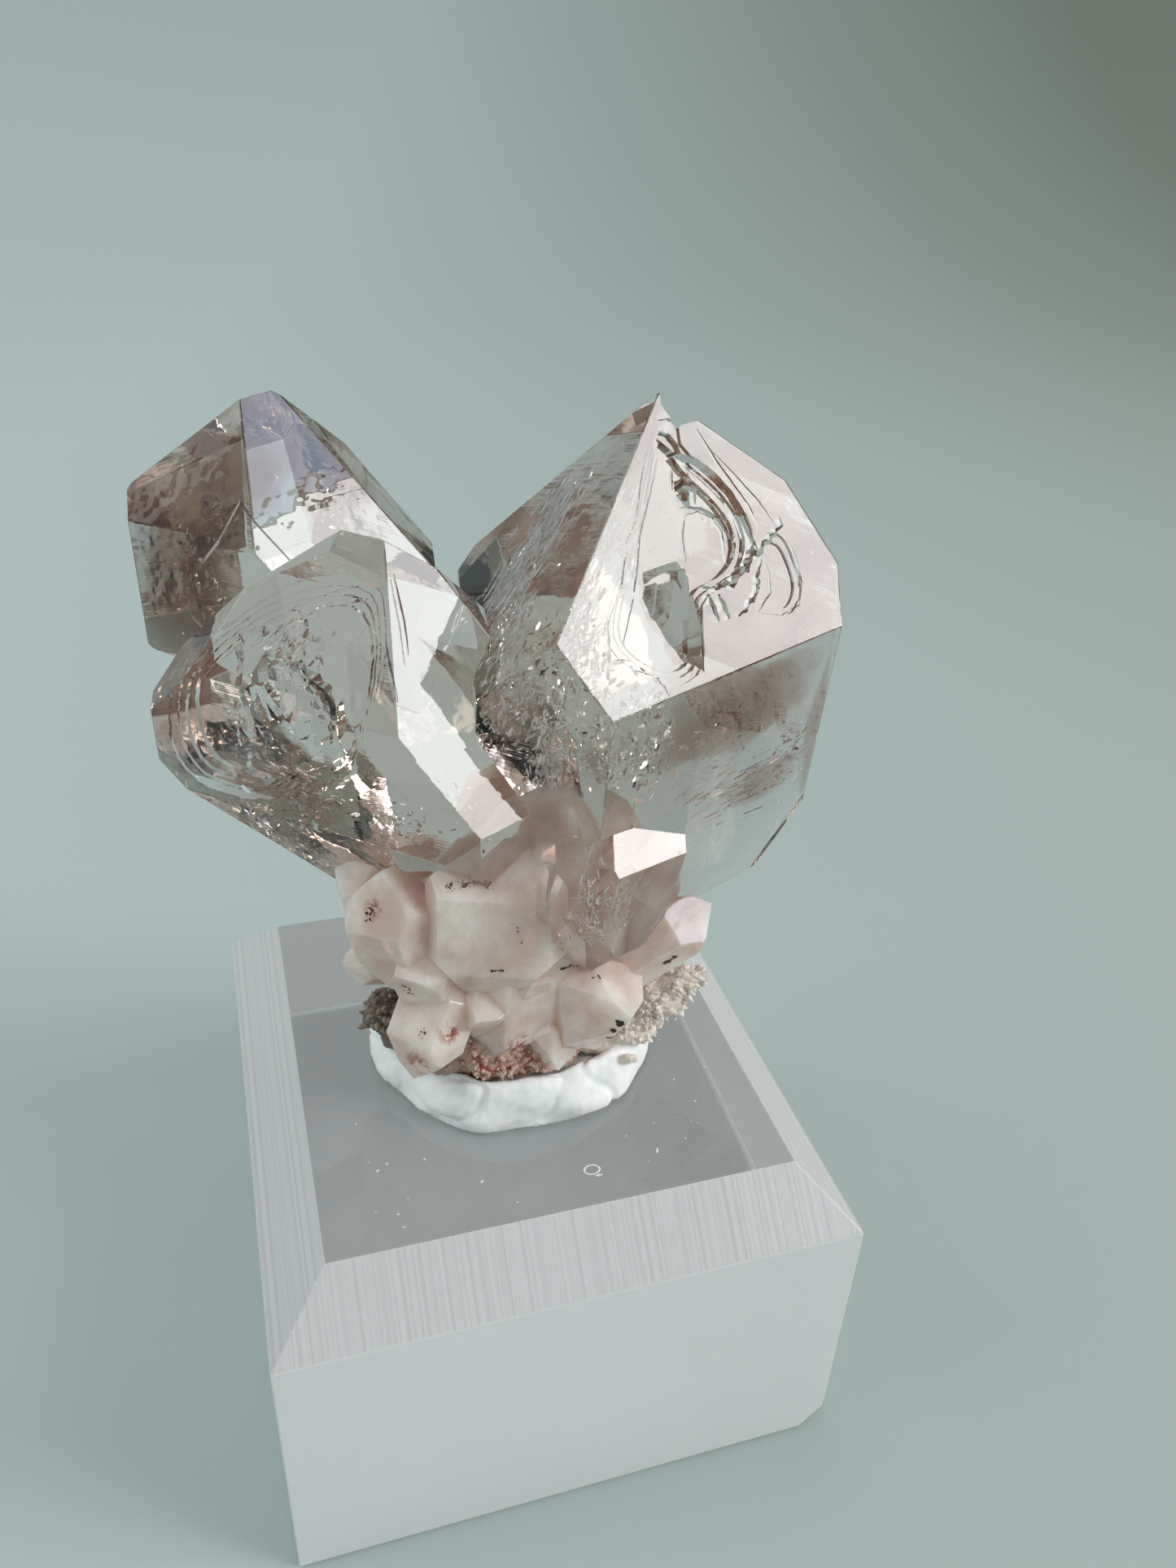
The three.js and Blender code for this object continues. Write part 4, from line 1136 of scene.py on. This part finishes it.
def cast_acrylic(tree, place):
    """Cast acrylic: a polished top, bevels left satin by the saw with its fine lines, and milky sanded
    sides. What differs between them goes by how level the surface is."""
    outward = add(tree, "NewGeometry").outputs["Normal"]
    normal = add(tree, "SeparateXYZ", links={0: outward})
    level = add(tree, "Math", {"operation": "ABSOLUTE"}, {0: normal.outputs["Z"]})
    satin = add(tree, "MapRange", {"From Min": 0.9, "From Max": 0.98, "To Min": 0.5, "To Max": 0.02},
                {"Value": level})
    clear = add(tree, "ValToRGB", links={"Fac": level})
    mark(clear, (0, 0.3), (0.2, 0.3), (0.6, 0.5), (0.9, 0.5), (0.97, 0.82), (1, 0.82))
    parts = add(tree, "SeparateXYZ", links={0: place})
    lines, chatter = (add(tree, "TexNoise",
                          {"noise_dimensions": "1D", "Scale": 1 / (0.3 * MM), "Detail": 3, "Roughness": 0.7},
                          {"W": parts.outputs[way]}) for way in "ZX")
    turned = add(tree, "Math", {"operation": "ABSOLUTE"}, {0: normal.outputs["Y"]})
    facing = add(tree, "Math", {"operation": "GREATER_THAN", 1: 0.3}, {0: turned})
    streaks = add(tree, "Mix", {"data_type": "FLOAT"}, {0: facing, 2: lines, 3: chatter})
    sawn = add(tree, "ValToRGB", links={"Fac": level})
    mark(sawn, (0, 0.25), (0.2, 0.25), (0.6, 1), (0.9, 1), (0.97, 0), (1, 0))
    height = add(tree, "Math", {"operation": "MULTIPLY"}, {0: streaks, 1: sawn})
    scratches = add(tree, "Bump", {"Strength": 0.4, "Distance": 0.03 * MM}, {"Height": height})
    on_bevel = add(tree, "MapRange", {"From Min": 0.3, "From Max": 0.6}, {"Value": level})
    light = add(tree, "MapRange", {"From Min": 0.35, "From Max": 0.6}, {"Value": streaks})
    faint = add(tree, "Mix", {"data_type": "FLOAT", 2: 1.0}, {0: on_bevel, 3: light})
    tone = add(tree, "ValToRGB", links={"Fac": faint})
    mark(tone, (0, "#EFE8EB"), (1, "#FFFFFF"))
    body = add(tree, "BsdfPrincipled", {"IOR": 1.49},
               {"Base Color": tone, "Roughness": satin, "Normal": scratches, "Transmission Weight": clear})
    tint = add(tree, "VolumeAbsorption", {"Color": "#DDE8E6", "Density": 6})
    return {"Surface": body, "Volume": tint}


def black_iron_oxide(tree, place):
    """Goethite: black-brown, with a dull submetallic shine."""
    mottle = add(tree, "TexNoise", {"Scale": 1 / (0.15 * MM), "Detail": 3}, {"Vector": place})
    colour = add(tree, "ValToRGB", links={"Fac": mottle})
    mark(colour, (0, "#16110E"), (1, "#3A2A22"))
    body = add(tree, "BsdfPrincipled", {"Roughness": 0.35}, {"Base Color": colour})
    return {"Surface": body}


def by_place(tree, place, *stops):
    """Colour that changes across the crust from left to right, given as places in mm and hex codes."""
    parts = add(tree, "SeparateXYZ", links={0: place})
    share = add(tree, "MapRange", {"From Min": -12 * MM, "From Max": 12 * MM}, {"Value": parts})
    colour = add(tree, "ValToRGB", links={"Fac": share})
    mark(colour, *[((x + 12) / 24, code) for x, code in stops])
    return colour


def druse_quartz(tree, place):
    """Tiny milky quartz points: grey-brown on the left, pinkish buff in front, buff-white on the right."""
    colour = by_place(tree, place, (-8, "#9A8C80"), (-5, "#D9B8A8"), (1, "#E4C2B2"), (6, "#FFF2E8"))
    tint = add(tree, "TexNoise", {"Scale": 1 / (0.5 * MM), "Detail": 3}, {"Vector": place})
    dirty = add(tree, "MapRange", {"From Min": 0.3, "From Max": 0.6, "To Min": 0.65, "To Max": 1},
                {"Value": tint})
    shaded = add(tree, "VectorMath", {"operation": "SCALE"}, {0: colour, 3: dirty})
    body = add(tree, "BsdfPrincipled",
               {"Roughness": 0.38, "IOR": QUARTZ_IOR, "Subsurface Weight": 0.5,
                "Subsurface Radius": (1.0, 0.85, 0.75), "Subsurface Scale": 0.3 * MM},
               {"Base Color": shaded})
    return {"Surface": body}


def pale_dust(tree, place):
    """House dust and dried glue: off-white and matt."""
    tone = add(tree, "TexNoise", {"Scale": 1 / (0.2 * MM)}, {"Vector": place})
    colour = add(tree, "ValToRGB", links={"Fac": tone})
    mark(colour, (0, "#C9BFB8"), (1, "#FFFFFF"))
    body = add(tree, "BsdfPrincipled", {"Roughness": 0.7}, {"Base Color": colour})
    return {"Surface": body}


def healed_veil(tree, place):
    """A healed crack full of tiny bubbles: it scatters, so it reads as a fine white wisp."""
    bubbles = add(tree, "TexNoise", {"Scale": 1 / (0.12 * MM), "Detail": 3}, {"Vector": place})
    through = add(tree, "MapRange", {"From Min": 0.35, "From Max": 0.65, "To Min": 0, "To Max": 0.5},
                  {"Value": bubbles})
    body = add(tree, "BsdfPrincipled", {"Base Color": "#FFFFFF", "Roughness": 0.35, "IOR": 1.2},
               {"Transmission Weight": through})
    return {"Surface": body}


def white_putty(tree, place):
    """Mounting putty: a matt white filled rubber, faintly blue, with the marks of kneading."""
    grime = add(tree, "TexNoise", {"Scale": 1 / (2.2 * MM), "Detail": 5}, {"Vector": place})
    colour = add(tree, "ValToRGB", links={"Fac": grime})
    mark(colour, (0.3, "#E6ECEA"), (0.6, "#FFFFFF"))
    fine = add(tree, "TexNoise", {"Scale": 1 / (0.5 * MM), "Detail": 4}, {"Vector": place})
    skin = add(tree, "Bump", {"Strength": 0.5, "Distance": 0.05 * MM}, {"Height": fine})
    body = add(tree, "BsdfPrincipled",
               {"Roughness": 0.62, "Subsurface Weight": 0.25,
                "Subsurface Radius": (1.0, 0.95, 0.9), "Subsurface Scale": 0.8 * MM},
               {"Base Color": colour, "Normal": skin})
    return {"Surface": body}


def stained_matrix(tree, place):
    """Buff-white druse and matrix with rust-red iron stains in its hollows."""
    clean = by_place(tree, place, (-8, "#6E6157"), (-6, "#B99C8C"), (0, "#DCC0B0"), (6, "#EFE2D8"))
    spots = add(tree, "TexNoise", {"Scale": 1 / (1.6 * MM), "Detail": 6, "Roughness": 0.7}, {"Vector": place})
    away = add(tree, "VectorMath", {"operation": "DISTANCE", 1: Vector((-1.5, -6.5, 29)) * MM}, {0: place})
    reach = add(tree, "MapRange", {"From Min": 2 * MM, "From Max": 6 * MM, "To Min": 0.06, "To Max": -0.1},
                {"Value": away.outputs["Value"]})
    mixed = add(tree, "Math", {"operation": "ADD"}, {0: spots, 1: reach})
    rusty = add(tree, "MapRange", {"From Min": 0.5, "From Max": 0.6}, {"Value": mixed})
    rust = add(tree, "TexNoise", {"Scale": 1 / (0.6 * MM), "Detail": 4}, {"Vector": place})
    red = add(tree, "ValToRGB", links={"Fac": rust})
    mark(red, (0.35, "#7A3A28"), (0.65, "#B9704F"))
    colour = add(tree, "Mix", {"data_type": "RGBA"}, {0: rusty, 6: clean, 7: red})
    grain = add(tree, "TexNoise", {"Scale": 1 / (0.4 * MM), "Detail": 5}, {"Vector": place})
    rough = add(tree, "Bump", {"Strength": 0.8, "Distance": 0.12 * MM}, {"Height": grain})
    body = add(tree, "BsdfPrincipled",
               {"Roughness": 0.55, "Subsurface Weight": 0.2,
                "Subsurface Radius": (1.0, 0.8, 0.7), "Subsurface Scale": 0.4 * MM},
               {"Base Color": colour.outputs[2], "Normal": rough})
    return {"Surface": body}


def paper_with_painted_shade(tree, place):
    """Seamless background paper, matt, pale grey-green, with painted shade deepening it evenly to the right.
    """
    # Painted shade: the paper's colour darkens evenly along one fixed way across the floor, standing in for
    # light falling off to the right.
    across = add(tree, "VectorMath", {"operation": "DOT_PRODUCT", 1: (0.957, -0.29, 0)}, {0: place})
    share = add(tree, "MapRange", {"From Min": -0.12, "From Max": 0.3}, {"Value": across.outputs["Value"]})
    fibre = add(tree, "TexNoise", {"Scale": 1 / (0.8 * MM), "Detail": 2}, {"Vector": place})
    colour = add(tree, "ValToRGB", links={"Fac": share})
    mark(colour, (0, "#B7C5C4"), (1, "#7C857A"))
    tooth = add(tree, "Bump", {"Strength": 0.1, "Distance": 0.02 * MM}, {"Height": fibre})
    body = add(tree, "BsdfPrincipled", {"Roughness": 0.9}, {"Base Color": colour, "Normal": tooth})
    return {"Surface": body}


camera_and_lights()
floor_and_backdrop()
display_block()
dust_and_mark()
putty_ring()
matrix_crust()
base = base_crystals()
oxide_specks(base)
settle(base, "quartz_cluster", slot="quartz", finish=cloudy_pink_quartz)
crystals = clear_crystals()
flakes_inside(crystals, "inner_fractures", FRACTURES, CRACK_THICKNESS, seed=7, finish=air_filled_crack)
flakes_inside(crystals, "healed_veils", VEILS, VEIL_THICKNESS, seed=8, finish=healed_veil)
smoky_patches(crystals)
settle(crystals, "quartz_cluster", slot="quartz", finish=clear_smoky_quartz)
